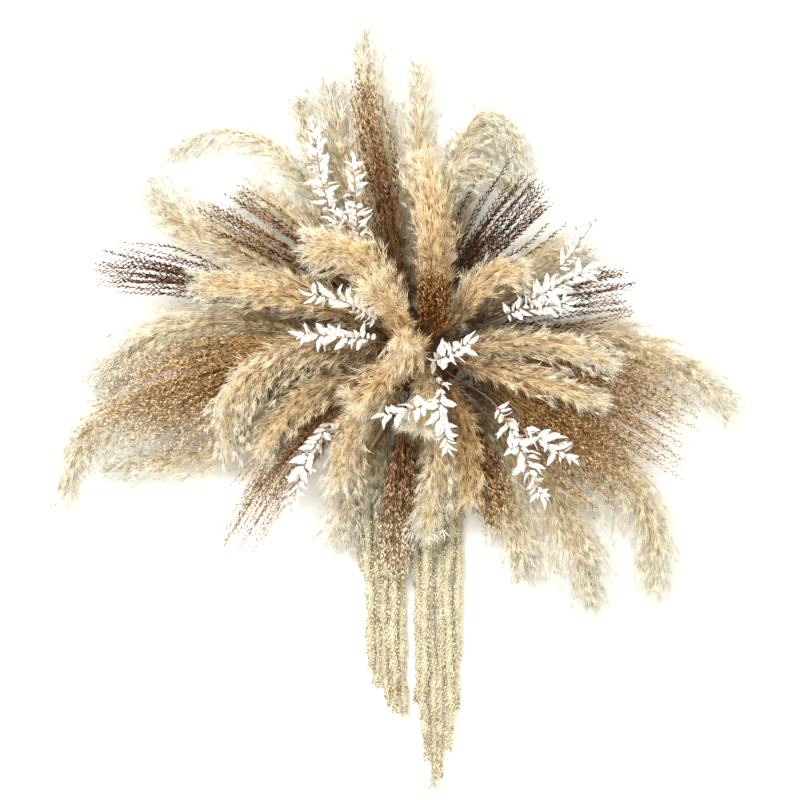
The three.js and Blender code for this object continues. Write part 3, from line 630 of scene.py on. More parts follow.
class Head:
    """A plume's head: its axis, and its side branches as curves from the axis forwards and out."""

    def __init__(self, name, settings, draw):
        half, _, self.airy, self.droop, points = PLUMES[name]
        bare, taper_share, self.inner, self.paling = RINGS[name.split("_")[1]]
        self.at_back = "back" in name
        self.foot, self.collar = root_of(name)
        self.course = Course([self.collar, *in_metres(points)])
        self.half = half * MM
        self.bare = bare / self.course.length
        self.span = (1 - self.bare) * self.course.length
        fewer = 1 - AIRY_BRANCHES * self.airy
        self.count = int(settings.branches * (self.span / COUNTED_ON) * fewer)
        order = np.arange(self.count)
        self.u = (order + draw.random(self.count)) / self.count * LAST_BRANCH
        self.angle = order * GOLDEN_ANGLE + draw.uniform(-TURN_STRAY, TURN_STRAY, self.count)
        self.deep_in = 1 - smooth(self.u / DEEP_UNTIL) if self.at_back else 0 * self.u
        narrowing = 1 - settings.taper * taper_share * smooth((self.u - TAPERS_FROM) * TAPER_RATE)
        outline = head_width(1, self.u, settings.foot_width if self.at_back else FOOT_WIDTH)
        reach = outline * narrowing * draw.uniform(REACH_LEAST - REACH_LESS * self.u, 1, self.count)
        ahead = self.half * reach * settings.sweep + AHEAD_LEAST
        self.ahead = ahead * draw.uniform(*AHEAD_SPREAD, self.count) * (1 - DEEP_AHEAD * self.deep_in)
        wide = self.half * (settings.back_wider if self.at_back else 1)
        deep = self.half * settings.depth
        self.across = (wide * np.cos(self.angle) * reach)[:, None]
        self.over = (deep * np.sin(self.angle) * reach)[:, None]
        self.hanging = np.array(HANG_WAY) * (self.half * reach * self.droop)[:, None]
        self.curve = [self.beside(*by) for by in ((0, 0, 0), BRANCH_MIDDLE, (1, 1, 1))]

    def beside(self, ahead_by, out_by, hang_by):
        """A place for every branch, by shares of its way ahead, out and down."""
        start = self.bare + self.u * (1 - self.bare)
        share = np.minimum(start + self.ahead * ahead_by / self.course.length, PAST_TIP)
        place, _, side, up = self.course.at(share)
        return place + (side * self.across + up * self.over) * out_by + self.hanging * hang_by

    def along(self, s, i):
        """Places and ways at shares of the branches i."""
        a, b, c = (row[i] for row in self.curve)
        place = (1 - s) ** 2 * a + 2 * s * (1 - s) * b + s**2 * c
        return place, unit(2 * (1 - s) * (b - a) + 2 * s * (c - b))

    def tips_at(self, i, s, draw):
        """Tip values at a hair's foot and end: paler outwards, at the sides and to the head's tip."""
        at_sides = TIP_SIDES * s * np.abs(np.cos(self.angle[i]))
        foot = self.inner + at_sides + self.paling * self.u[i] + TIP_OUTWARDS * s
        foot = foot + draw.normal(0, TIP_CHANCE, s.shape)
        return np.stack([foot, foot + TIP_HAIR + TIP_HEAD * self.u[i]], axis=1)


def stalk_of(head, settings):
    """The stem from its hole on, which runs on as the head's inner stalk."""
    shares = np.linspace(0, 1, CORE_RINGS)
    core = head.course.at(head.bare + shares * (1 - head.bare))[0]
    radii = np.maximum(head_width(head.half, shares) * settings.core * (1 - head.airy), CORE_LEAST)
    return plain(tube([head.foot, head.collar, *core], [*STEM_RADII, *radii], STEM_SIDES), *STEM_LOOK)


def twigs_of(head, settings, tones):
    """The bare wood of every side branch."""
    radii = [settings.twig * share for share in TWIG_RADII]
    for i in range(head.count):
        line = head.along(np.array(TWIG_AT)[:, None], i)[0]
        values = TWIG_TIP + TWIG_PALES * head.u[i] + np.array(TWIG_TIPS)
        yield graded(tube(line, radii, TWIG_SIDES), TWIG_SIDES, values, tones[i])


def branch_fluff(head, settings, tones, each, draw):
    """Tufts along the branches: place, way, length, tip values, tone, and how likely each is a wisp."""
    i = np.repeat(np.arange(head.count), each)
    steps = np.tile(np.arange(each), head.count) + draw.random(len(i))
    s = FLUFF_FROM + (1 - FLUFF_FROM) * steps / each
    at, forward = head.along(s[:, None], i)
    off = head.half * settings.fuzz * (FUZZ_FOOT - FUZZ_LESS * s)
    at = at + unit(draw.normal(size=at.shape)) * off[:, None]
    forward = forward + draw.normal(0, settings.ruffle, forward.shape)
    forward = forward + np.array(DROOP_WAY) * head.droop * DROOP_FLUFF * s[:, None]
    length = settings.hair_length * draw.uniform(*FLUFF_SIZES, len(i)) * (FLUFF_FOOT - FLUFF_LESS * s)
    tip = head.tips_at(i, s, draw)
    tone = tones[i] + draw.normal(0, FLUFF_TONES, len(i))
    return at, forward, length, tip, tone, smooth((s - WISPS_FROM) * WISPS_RATE) * WISPS_MOST


def mantle_fluff(head, settings, count, draw):
    """Short tufts over the inner stalk, with the same values."""
    v = draw.random(count) * MANTLE_UNTIL
    turned = draw.uniform(0, 2 * np.pi, count)
    place, ahead, side, up = head.course.at(head.bare + v * (1 - head.bare))
    out = side * np.cos(turned)[:, None] + up * np.sin(turned)[:, None]
    off = head_width(head.half, v) * draw.uniform(settings.core * MANTLE_INNER, MANTLE_OUTER, count)
    forward = ahead + out * MANTLE_OUT + draw.normal(0, settings.ruffle, place.shape)
    length = settings.hair_length * draw.uniform(*MANTLE_SIZES, count)
    foot = head.inner + MANTLE_TIP + head.paling * v + draw.normal(0, MANTLE_CHANCE, count)
    tip = np.stack([foot, foot + MANTLE_PALES + MANTLE_PALES * v], axis=1)
    tone = draw.normal(*MANTLE_TONES, count)
    return place + out * off[:, None], forward, length, tip, tone, np.full(count, MANTLE_WISPS)


def seeds_of(head, settings, seed_shape, draw):
    """Seeds along the outer parts of the branches, darkened partly with painted shade."""
    count = int(settings.seeds * head.count)
    i = draw.integers(0, head.count, count)
    at, forward = head.along(draw.uniform(SEEDS_FROM, 1, count)[:, None], i)
    forward = forward + draw.normal(0, SEEDS_STRAY, at.shape)
    length = draw.uniform(*SEEDS_SIZES, count)
    tip = np.tile(SEEDS_TIPS, (count, 1))
    return stamped(seed_shape, at, forward, length, length * 0, tip, draw.uniform(*SEEDS_TONES_AND_SHADE, count))


def grow_plume(name, settings, tufts, seed_shape, material):
    """A plume: its stalk and side branches, the fluff on both, and dark seeds. The last tuft is a wisp."""
    draw = draws_for(name, PLUMES, PLUME_SEED)
    head = Head(name, settings, draw)
    # The branches deep in the spray get painted shade: their tones are darkened there.
    tones = draw.uniform(*BRANCH_TONES, head.count) - DEEP_PAINTED_SHADE * head.deep_in
    parts = [stalk_of(head, settings), *twigs_of(head, settings, tones)]
    fewer = 1 - AIRY_TUFTS * head.airy - AIRIEST_TUFTS * head.airy**4
    wanted = settings.tufts * PER_SQUARE_METRE * 2 * head.half * head.span * fewer
    each = max(FEWEST_TUFTS, int(wanted * (1 - settings.mantle) / head.count))
    on_branches = branch_fluff(head, settings, tones, each, draw)
    on_stalk = mantle_fluff(head, settings, int(wanted * settings.mantle), draw)
    at, forward, length, tip, tone, wispy = (np.concatenate(pair) for pair in zip(on_branches, on_stalk))
    kind = draw.integers(0, len(tufts) - 1, len(at))
    roll = draw.uniform(0, FLUFF_ROLL, len(at))
    is_wisp = draw.random(len(at)) < wispy
    kind[is_wisp] = len(tufts) - 1
    length[is_wisp] *= settings.wisp_length
    for k, shape in enumerate(tufts):
        of = kind == k
        parts.append(stamped(shape, at[of], forward[of], length[of], roll[of], tip[of], tone[of]))
    if head.at_back:
        parts.append(seeds_of(head, settings, seed_shape, draw))
    return assemble(name + "_head", parts, material, name)


# Reed grass

# A fan is one stem that parts into stalks, which bear spikelets.

GRASS_SEED = 5000

# Fans with many stalks and with few: the share of a spikelet's length, the least share of a stalk's length,
# how far spikelets stray and stand off from the stalk, and how closely they follow one another.
DENSE_FAN = 40
DENSE = (0.78, 0.66, 0.22, 0.6, 1)
SPARSE = (1, 0.86, 0.13, 0.4, 1.25)

# The stem: which points of the line to where the fan opens it keeps, shares of the fan that it runs into,
# its half widths, its sides, and its tip value and tone.
FAN_BENDS = (60, 110)
FAN_RUNS_IN = (0.3, 0.6)
FAN_RADII = (0.0018, 0.0016, 0.0012, 0.0012, 0.0012, 0.001, 0.0008)
FAN_SIDES = 5
FAN_LOOK = (0.25, 0.35)

# The stalks: how far they stray from even turns, how far their feet spread along and across the fan, which
# points of the stem's line they part from by the heart, the fan's depth, how far its sides fall short and
# sink, the most of a stalk's length, its bow and what chance adds to it, the least hang, and its rings,
# widths, sides and look.
STALK_STRAY = 0.5
FEET_ALONG = 0.4
FEET_ACROSS = 0.3
HEART_POINTS = (30, 160)
FAN_DEPTH = 0.01
SIDES_SHORT = 0.14
SIDES_SINK = 0.05
STALK_MOST = 1.07
BOW = 0.14
BOW_UP = 0.003
BOW_SIDE = 0.004
HANG_LEAST = 0.2
STALK_RINGS = 9
STALK_RADII = (0.0006, 0.0003)
STALK_SIDES = 3
STALK_TIP = 0.1
STALK_PALES = 0.3
STALK_TONE = 0.45

# The spikelets: the bare and the seeded share of a stalk, how unevenly they are spaced, their lengths and
# roll, their tip values at the foot, along a stalk, by chance and along themselves, the share of dark ones,
# and the tones of the dark and of the light ones.
GRASS_BARE = 0.14
GRASS_SEEDED = 0.86
GRASS_UNEVEN = 0.5
GRASS_SIZES = (0.75, 1.15)
GRASS_LESS = 0.3
GRASS_ROLL = 6
GRASS_TIP = 0.05
GRASS_PALES = 0.75
GRASS_CHANCE = 0.1
GRASS_RISE = 0.4
DARK_SHARE = 0.45
DARK_TONES = (-0.05, 0.2)
LIGHT_TONES = (0.45, 0.8)


def grow_fan(name, settings, seed_shape, material):
    """A fan of reed grass: its stem, every stalk and every spikelet."""
    finish, count, paling, spread, base, end = GRASSES[name]
    draw = draws_for(name, GRASSES, GRASS_SEED)
    dense = count >= DENSE_FAN
    size_share, shortest, stray, stand_off, closeness = DENSE if dense else SPARSE
    base, end, spread = Vector(base) * MM, Vector(end) * MM, spread * MM
    foot, collar = root_of(name)
    line = spline([collar, base])
    length = (end - base).length
    heading = np.array((end - base).normalized())
    side = unit(np.cross([0, 0, 1.0], heading))
    up = np.cross(heading, side)
    runs_in = [base + (end - base) * share for share in FAN_RUNS_IN]
    stem = [foot, collar, *(line[k] for k in FAN_BENDS), base, *runs_in]
    parts = [plain(tube(stem, FAN_RADII, FAN_SIDES), *FAN_LOOK)]
    for k in range(count):
        out = np.sqrt((k + draw.random()) / count)
        angle = k * GOLDEN_ANGLE + draw.uniform(-STALK_STRAY, STALK_STRAY)
        across, over = out * np.cos(angle), out * np.sin(angle)
        beside = side * spread * FEET_ACROSS * across
        first = np.array(base) + heading * length * FEET_ALONG * (1 - out) * draw.random() + beside
        if draw.random() < settings.from_heart:
            first = line[int(draw.uniform(*HEART_POINTS))] + beside
        last = np.array(end) + side * spread * across + up * FAN_DEPTH * over
        last = last - heading * length * SIDES_SHORT * across**2
        last = last - np.array([0, 0, length * SIDES_SINK * across**2])
        last = first + (last - first) * draw.uniform(shortest, STALK_MOST)
        bow = side * across * spread * BOW + up * draw.normal(0, BOW_UP)
        middle = (first + last) / 2 + bow + side * draw.normal(0, BOW_SIDE)
        if dense:
            last = last - np.array([0, settings.hang * length * draw.uniform(HANG_LEAST, 1), 0])
        points = spline([first, middle, last], STALK_RINGS)
        stalk = tube(points, np.linspace(*STALK_RADII, STALK_RINGS), STALK_SIDES)
        parts.append(plain(stalk, STALK_TIP + STALK_PALES * paling, STALK_TONE))

        seeds = int(GRASS_SEEDED * closeness * np.linalg.norm(last - first) / settings.seed_every)
        order = np.arange(seeds)
        s = GRASS_BARE + GRASS_SEEDED * (order + GRASS_UNEVEN * draw.random(seeds)) / seeds
        rings = np.linspace(0, 1, STALK_RINGS)
        at = np.stack([np.interp(s, rings, points[:, j]) for j in range(3)], axis=1)
        along = unit(last - middle) * s[:, None] + unit(middle - first) * (1 - s)[:, None]
        hand = np.where(order % 2, 1.0, -1.0)[:, None]
        forward = along + hand * side * stand_off + draw.normal(0, stray, along.shape)
        size = settings.seed_length * size_share * draw.uniform(*GRASS_SIZES, seeds) * (1 - GRASS_LESS * s)
        start = GRASS_TIP + GRASS_PALES * paling * s + draw.normal(0, GRASS_CHANCE, seeds)
        tip = np.stack([start, start + GRASS_RISE], axis=1)
        is_dark = draw.random(seeds) < DARK_SHARE
        tone = np.where(is_dark, draw.uniform(*DARK_TONES, seeds), draw.uniform(*LIGHT_TONES, seeds))
        parts.append(stamped(seed_shape, at, forward, size, draw.uniform(0, GRASS_ROLL, seeds), tip, tone))
    return assemble(name + "_fan", parts, material, name)


# Ruscus

RUSCUS_SEED = 7000

# The twig: its rings, half widths at both ends, sides, and its tip value and tone. A side twig is bare up
# to a share of its length.
SPRIG_RINGS = 16
SPRIG_RADII = (0.0011, 0.0006)
SPRIG_SIDES = 5
SPRIG_LOOK = (0.0, 0.3)
FORK_BARE = 0.25

# The leaves: the fewest on a twig, where the first one sits, how far they turn off and rise, their sizes,
# the last one's place and size, their roll, and their tip values and tones.
LEAVES_FEWEST = 4
LEAVES_FIRST = 0.4
LEAVES_TURN = (0.35, 1.45)
LEAVES_RISE = (0.3, 0.7)
LEAVES_LESS = 0.35
LEAVES_SIZES = (0.68, 1.15)
LAST_LEAF_AT = 0.99
LAST_LEAF_SIZE = 0.75
LEAVES_ROLL = (np.pi, 1.0)
LEAVES_TIPS = (0.45, 1.0)
LEAVES_TONES = (0.3, 0.7)


def twig_with_leaves(points, bare, settings, leaf_shape, draw):
    """A leafy twig along its points, bare up to a share of its length."""
    course = Course(points)
    line = course.at(np.linspace(0, 1, SPRIG_RINGS))[0]
    parts = [plain(tube(line, np.linspace(*SPRIG_RADII, SPRIG_RINGS), SPRIG_SIDES), *SPRIG_LOOK)]
    count = max(LEAVES_FEWEST, int((1 - bare) * course.length / settings.leaf_every))
    share = bare + (1 - bare) * (np.arange(count) + LEAVES_FIRST) / count
    at, forward, side, up = course.at(share)
    hand = np.where(np.arange(count) % 2, 1.0, -1.0)[:, None]
    turn = draw.uniform(*LEAVES_TURN, count)[:, None]
    rise = draw.normal(*LEAVES_RISE, count)[:, None]
    along = unit(forward * np.cos(turn) + side * hand * np.sin(turn) + up * rise)
    off_middle = np.abs(2 * (share - bare) / (1 - bare) - 1)
    size = settings.leaf_length * (1 - LEAVES_LESS * off_middle) * draw.uniform(*LEAVES_SIZES, count)
    end, end_forward = course.at(np.array([LAST_LEAF_AT]))[:2]
    at, along = np.vstack([at, end]), np.vstack([along, end_forward])
    size = np.append(size, settings.leaf_length * LAST_LEAF_SIZE)
    roll = draw.normal(*LEAVES_ROLL, len(at))
    tip = np.tile(LEAVES_TIPS, (len(at), 1))
    tone = draw.uniform(*LEAVES_TONES, len(at))
    parts.append(stamped(leaf_shape, at, along, size, roll, tip, tone))
    return parts


def grow_sprig(name, settings, leaf_shape, material):
    """A sprig of ruscus: its main twig with its stem, and the side twig if it forks."""
    draw = draws_for(name, RUSCUS, RUSCUS_SEED)
    main, fork = RUSCUS[name]
    foot, collar = root_of(name)
    points = [foot, collar, *in_metres(main)]
    course = Course(points)
    away = np.linalg.norm(course.points - np.array(points[2]), axis=1)
    parts = twig_with_leaves(points, np.argmin(away) / (len(away) - 1), settings, leaf_shape, draw)
    if fork:
        near = np.linalg.norm(course.points - np.array(fork[0]) * MM, axis=1)
        start = Vector(course.points[np.argmin(near)])
        parts += twig_with_leaves([start, *in_metres(fork[1:])], FORK_BARE, settings, leaf_shape, draw)
    return assemble(name + "_sprig", parts, material, name)


# Amaranth

AMARANTH_SEED = 9000

# The strands' lines in mm: the two heights they lie at, how far below its start one turns down, where the
# longest has its waist and how far off it is there and at its tip, and how far off its tip's line the middle
# of a short one is. The last is the share of its way over that a short one takes before it turns.
STRAND_LOW = 7.4
STRAND_HIGH = 17.5
STRAND_TURN = 13
STRAND_WAIST = -300
WAIST_OFF = -3
TIP_OFF = 2
STRAND_OFF = -1
STRAND_OVER = 0.9

# The stem's rings, half width, sides and look, and the same for the strands under the beads.
TAIL_STEM_RINGS = 12
TAIL_STEM_RADIUS = 0.0018
TAIL_STEM_SIDES = 5
TAIL_STEM_LOOK = (0.0, 0.5)
TAIL_RINGS = 40
TAIL_SIDES = 6
TAIL_CORE = 0.7
# The strands under the beads lean to the painted shade of the folds.
TAIL_LOOK = (0.4, 0.45)

# How strands swell and sway: the size of each wave and how fast it runs, how thin the tip gets, and how
# soon the sway sets in.
SWELLS = ((0.2, 41), (0.16, 97))
SWAYS = ((0.6, 9), (0.4, 23))
TAIL_FULL = 1.1
TAIL_THINS = 0.55
TAIL_THINNEST = 0.3
SWAY_RATE = 4

# The beads: how far out they sit, their sizes, their tip values, the painted light that a swell adds and the
# painted shade where a strand narrows, what they gain along themselves, their tones, and how far they point
# outwards.
BEAD_OUT = 0.74
BEAD_OUTS = (0.8, 1.2)
BEAD_SIZES = (0.7, 1.3)
BEAD_TIPS = (0.05, 0.65)
SWELL_LIGHT_AND_SHADE = 0.25
BEAD_RISE = 0.4
BEAD_TONES = (0.35, 0.65)
BEAD_WAYS = (0.2, 1.4)


def strands_of(name):
    """The lines of a bunch's strands, the first of them the one that the stem runs on as."""
    outward, lowest, tips = AMARANTH[name]
    parting, droop = (np.array(p, float) for p in outward)
    waist = (droop[0] + WAIST_OFF, STRAND_WAIST, STRAND_LOW)
    lines = [[droop, waist, (droop[0] + TIP_OFF, lowest, STRAND_LOW)]]
    for k, (x, y) in enumerate(tips):
        start = parting + (droop - parting) * k / len(tips)
        height = STRAND_HIGH if k % 2 else STRAND_LOW
        over = start + (np.array([x, start[1] - STRAND_TURN, height]) - start) * STRAND_OVER
        lines.append([start, over, (x + STRAND_OFF, (start[1] + y) / 2, height), (x, y, height)])
    return [in_metres(line) for line in lines]


def wave(share, sizes, starts):
    """Two waves added up along a strand."""
    (first, fast), (second, faster) = sizes
    return first * np.sin(share * fast + starts[0]) + second * np.sin(share * faster + starts[1])


def grow_tails(name, settings, bud_shape, material):
    """A bunch of amaranth: its stem, and every strand with its beads."""
    draw = draws_for(name, AMARANTH, AMARANTH_SEED)
    foot, collar = root_of(name)
    outward = in_metres(AMARANTH[name][0])
    stem = Course([foot, collar, *outward]).at(np.linspace(0, 1, TAIL_STEM_RINGS))[0]
    stem_radii = np.full(TAIL_STEM_RINGS, TAIL_STEM_RADIUS)
    parts = [plain(tube(stem, stem_radii, TAIL_STEM_SIDES), *TAIL_STEM_LOOK)]
    thick = settings.strand_width / 2
    for line in strands_of(name):
        course = Course(line)
        starts = draw.uniform(0, 2 * np.pi, 4)

        def wavy(share):
            """How thick the strand is there, and how far it sways to the side."""
            swell = 1 + wave(share, SWELLS, starts[:2])
            sway = wave(share, SWAYS, starts[2:]) * settings.sway * smooth(share * SWAY_RATE)
            return swell * np.clip(TAIL_FULL - TAIL_THINS * share**4, TAIL_THINNEST, 1), sway

        shares = np.linspace(0, 1, TAIL_RINGS)
        rows, _, side, _ = course.at(shares)
        swell, sway = wavy(shares)
        strand = tube(rows + side * sway[:, None], thick * TAIL_CORE * swell, TAIL_SIDES)
        parts.append(plain(strand, *TAIL_LOOK))

        count = int(course.length / settings.bead_every)
        share = (np.arange(count) + draw.random(count)) / count
        at, forward, side, up = course.at(share)
        swell, sway = wavy(share)
        angle = np.arange(count) * GOLDEN_ANGLE
        out = side * np.cos(angle)[:, None] + up * np.sin(angle)[:, None]
        off = thick * BEAD_OUT * swell * draw.uniform(*BEAD_OUTS, count)
        at = at + side * sway[:, None] + out * off[:, None]
        size = settings.bead * draw.uniform(*BEAD_SIZES, count)
        # Painted light and shade: a bead is paler where its strand swells, darker where it narrows.
        start = draw.uniform(*BEAD_TIPS, count) + SWELL_LIGHT_AND_SHADE * (swell - 1)
        tip = np.stack([start, start + BEAD_RISE], axis=1)
        tone = draw.uniform(*BEAD_TONES, count)
        forward = forward + out * draw.uniform(*BEAD_WAYS, (count, 1))
        parts.append(stamped(bud_shape, at, forward, size, angle, tip, tone))
    return assemble(name + "_tails", parts, material, name)


# Materials

# Dried plants: how fine their fibres are, from smooth to rough, how deep the relief is in metres, and how
# much they shine. Dry foam: from smooth to rough, how deep, how dark the painted shade in its pores is and
# how wide.
FIBRE_GRAIN = 900
FIBRE_ROUGHNESS = (0.78, 0.98)
FIBRE_RELIEF = 0.0004
FIBRE_SPECULAR = 0.2
FOAM_ROUGHNESS = (0.85, 1.0)
FOAM_RELIEF = 0.0008
PORE_PAINTED_SHADE = 0.35
PORE_EDGE = 0.45

# The sockets of the group, with their kinds and defaults.
TONE_INPUTS = (
    ("Root", "NodeSocketColor", (0.5, 0.4, 0.3, 1)),
    ("Middle", "NodeSocketColor", (0.7, 0.6, 0.5, 1)),
    ("Tip", "NodeSocketColor", (0.9, 0.8, 0.7, 1)),
    ("Position", "NodeSocketFloat", 0.5),
    ("Tone", "NodeSocketFloat", 0.5),
    ("Mottle", "NodeSocketFloat", 0.3),
    ("Contrast", "NodeSocketFloat", 0.5),
    ("Scale", "NodeSocketFloat", 30),
)
TONE_OUTPUTS = (
    ("Colour", "NodeSocketColor"),
    ("Roughness", "NodeSocketFloat"),
    ("Height", "NodeSocketFloat"),
)


def node(tree, kind, values=None, **settings):
    """A new node with its settings and the values of its sockets."""
    made = tree.nodes.new(kind)
    for key, value in settings.items():
        setattr(made, key, value)
    for key, value in (values or {}).items():
        made.inputs[key].default_value = value
    return made


def maths(tree, operation, values=None, clamp=False):
    """A new Math node."""
    return node(tree, "ShaderNodeMath", values, operation=operation, use_clamp=clamp)


def join(tree, *links):
    """Links given as the node and socket that give and the node and socket that take."""
    for source, output, target, socket in links:
        tree.links.new(source.outputs[output], target.inputs[socket])


def new_material(name):
    """An empty material, with its tree and its shader."""
    material = bpy.data.materials.new(name)
    material.use_nodes = True
    return material, material.node_tree, material.node_tree.nodes["Principled BSDF"]


def dried_group():
    """The tone of dried plants: a colour from root to tip, mottled, with lighter and darker fibres."""
    if "Dried tone" in bpy.data.node_groups:
        return bpy.data.node_groups["Dried tone"]
    group = bpy.data.node_groups.new("Dried tone", "ShaderNodeTree")
    for label, kind, value in TONE_INPUTS:
        group.interface.new_socket(label, in_out="INPUT", socket_type=kind).default_value = value
    for label, kind in TONE_OUTPUTS:
        group.interface.new_socket(label, in_out="OUTPUT", socket_type=kind)
    given, out = node(group, "NodeGroupInput"), node(group, "NodeGroupOutput")
    place = node(group, "ShaderNodeTexCoord")
    patches = node(group, "ShaderNodeTexNoise")
    grain = node(group, "ShaderNodeTexNoise", {"Scale": FIBRE_GRAIN})

    # The place between root and tip, mottled by patches, mixes root with middle and then middle with tip.
    centred = maths(group, "SUBTRACT", {1: 0.5})
    mottled = maths(group, "MULTIPLY_ADD")
    lower = maths(group, "MULTIPLY_ADD", {1: 2.0, 2: 0.0}, clamp=True)
    upper = maths(group, "MULTIPLY_ADD", {1: 2.0, 2: -1.0}, clamp=True)
    inner = node(group, "ShaderNodeMix", data_type="RGBA")
    blend = node(group, "ShaderNodeMix", data_type="RGBA")
    join(
        group,
        (place, "Object", patches, "Vector"),
        (given, "Scale", patches, "Scale"),
        (patches, "Fac", centred, 0),
        (centred, 0, mottled, 0),
        (given, "Mottle", mottled, 1),
        (given, "Position", mottled, 2),
        (mottled, 0, lower, 0),
        (mottled, 0, upper, 0),
        (lower, 0, inner, "Factor"),
        (given, "Root", inner, "A"),
        (given, "Middle", inner, "B"),
        (upper, 0, blend, "Factor"),
        (inner, "Result", blend, "A"),
        (given, "Tip", blend, "B"),
    )

    # The tone makes a fibre lighter or darker, and a darker one is richer in colour too.
    off = maths(group, "SUBTRACT", {1: 0.5})
    lightness = maths(group, "MULTIPLY_ADD", {2: 1.0})
    shade = node(group, "ShaderNodeVectorMath", operation="SCALE")
    # Painted light: the richer colour of darker fibres stands in for light that bounces among fibres in
    # shade.
    deeper = maths(group, "SUBTRACT", {0: 1.0}, clamp=True)
    power = maths(group, "ADD", {1: 1.0})
    painted_bounce_colour = node(group, "ShaderNodeGamma")
    join(
        group,
        (given, "Tone", off, 0),
        (off, 0, lightness, 0),
        (given, "Contrast", lightness, 1),
        (blend, "Result", shade, 0),
        (lightness, 0, shade, "Scale"),
        (lightness, 0, deeper, 1),
        (deeper, 0, power, 0),
        (shade, 0, painted_bounce_colour, "Color"),
        (power, 0, painted_bounce_colour, "Gamma"),
        (painted_bounce_colour, "Color", out, "Colour"),
    )

    # The grain of the fibres sets the roughness and the relief.
    low, high = FIBRE_ROUGHNESS
    rough = node(group, "ShaderNodeMapRange", {"To Min": low, "To Max": high})
    join(
        group,
        (place, "Object", grain, "Vector"),
        (grain, "Fac", rough, "Value"),
        (rough, 0, out, "Roughness"),
        (grain, "Fac", out, "Height"),
    )
    return group


def dried_material(name, inks, mottle, contrast, scale=30, sheen=0.0, bump=0.3):
    """A dried plant's finish, coloured along each fibre from its root to its tip."""
    material, tree, shader = new_material(name)
    values = {label: (*colour, 1) for label, colour in zip(("Root", "Middle", "Tip"), inks)}
    values.update({"Mottle": mottle, "Contrast": contrast, "Scale": scale})
    tone = node(tree, "ShaderNodeGroup", node_tree=dried_group())
    for label, value in values.items():
        tone.inputs[label].default_value = value
    relief = node(tree, "ShaderNodeBump", {"Strength": bump, "Distance": FIBRE_RELIEF})
    shader.inputs["Specular IOR Level"].default_value = FIBRE_SPECULAR
    shader.inputs["Sheen Weight"].default_value = sheen
    join(
        tree,
        (node(tree, "ShaderNodeAttribute", attribute_name="tip"), "Fac", tone, "Position"),
        (node(tree, "ShaderNodeAttribute", attribute_name="tone"), "Fac", tone, "Tone"),
        (tone, "Colour", shader, "Base Color"),
        (tone, "Roughness", shader, "Roughness"),
        (tone, "Height", relief, "Height"),
        (relief, "Normal", shader, "Normal"),
    )
    return material


def foam_material(settings):
    """Dry floral foam: dull and full of fine pores, darkened with painted shade."""
    material, tree, shader = new_material("Dry foam")
    place = node(tree, "ShaderNodeTexCoord")
    pores = node(tree, "ShaderNodeTexVoronoi", {"Scale": settings.pores}, feature="F1")
    ramp = node(tree, "ShaderNodeValToRGB")
    inside, outside = ramp.color_ramp.elements
    inside.color = (*[c * PORE_PAINTED_SHADE for c in settings.colour], 1)
    outside.color = (*settings.colour, 1)
    outside.position = PORE_EDGE
    relief = node(tree, "ShaderNodeBump", {"Distance": FOAM_RELIEF})
    low, high = FOAM_ROUGHNESS
    rough = node(tree, "ShaderNodeMapRange", {"To Min": low, "To Max": high})
    join(
        tree,
        (place, "Object", pores, "Vector"),
        (pores, "Distance", ramp, "Fac"),
        (pores, "Distance", rough, "Value"),
        (pores, "Distance", relief, "Height"),
        (ramp, "Color", shader, "Base Color"),
        (rough, 0, shader, "Roughness"),
        (relief, "Normal", shader, "Normal"),
    )
    return material


# Settings


class PlumeSettings(bpy.types.PropertyGroup):
    hair_length: FloatProperty(
        name="Hair length", description="Length of the fluff's hairs", default=0.019, min=0.005, unit="LENGTH"
    )
    hair_width: FloatProperty(
        name="Hair width",
        description="Width of a hair at its root",
        default=0.00105,
        min=0.0002,
        unit="LENGTH",
    )
    hairs: IntProperty(name="Hairs in a tuft", description="Hairs that part from one foot", default=6, min=3)
    tufts: FloatProperty(
        name="Tufts",
        description="Tufts to a square centimetre of a head seen from above",
        default=4.7,
        min=0.5,
    )
    branches: IntProperty(
        name="Branches", description="Side branches on a head a quarter of a metre long", default=96, min=8
    )
    core: FloatProperty(
        name="Core", description="The inner stalk's share of the head's width", default=0.12, subtype="FACTOR"
    )
    wisp_length: FloatProperty(
        name="Wisp length",
        description="How much longer the thin hairs at the ends of the branches are",
        default=1.35,
    )
    twig: FloatProperty(
        name="Twig", description="Half the width of a side branch", default=0.0008, unit="LENGTH"
    )
    fuzz: FloatProperty(
        name="Fuzz",
        description="How far the fluff's feet lie off their branch, as a share of the head",
        default=0.1,
    )
    mantle: FloatProperty(
        name="Mantle", description="Share of the tufts that cover the inner stalk", default=0.28
    )
    ruffle: FloatProperty(
        name="Ruffle", description="How far the hairs stray from their branch's way", default=0.3
    )
    sweep: FloatProperty(
        name="Sweep", description="How far a branch runs on along the head for each unit out", default=2.3
    )
    taper: FloatProperty(
        name="Taper",
        description="How much a head at the back narrows towards its tip",
        default=0.4,
        subtype="FACTOR",
    )
    foot_width: FloatProperty(
        name="Width at the foot", description="A back head's width where it starts, as a share", default=0.95
    )
    depth: FloatProperty(name="Depth", description="A head's thickness as a share of its width", default=0.82)
    seeds: FloatProperty(
        name="Seeds", description="Dark seeds to a side branch of a head at the back", default=2.6
    )
    back_wider: FloatProperty(
        name="Back wider",
        description="How much wider the heads that lie at the back are fluffed out",
        default=1.3,
    )


class GrassSettings(bpy.types.PropertyGroup):
    seed_length: FloatProperty(
        name="Seed length", description="Length of a spikelet", default=0.0098, min=0.002, unit="LENGTH"
    )
    seed_every: FloatProperty(
        name="Seed spacing",
        description="Distance between spikelets on a stalk",
        default=0.0044,
        unit="LENGTH",
    )
    from_heart: FloatProperty(
        name="From the heart", description="Share of the stalks that part close to the foam", default=0.5
    )
    hang: FloatProperty(
        name="Hang", description="How far a dense fan's tips hang, as a share of its length", default=0.2
    )


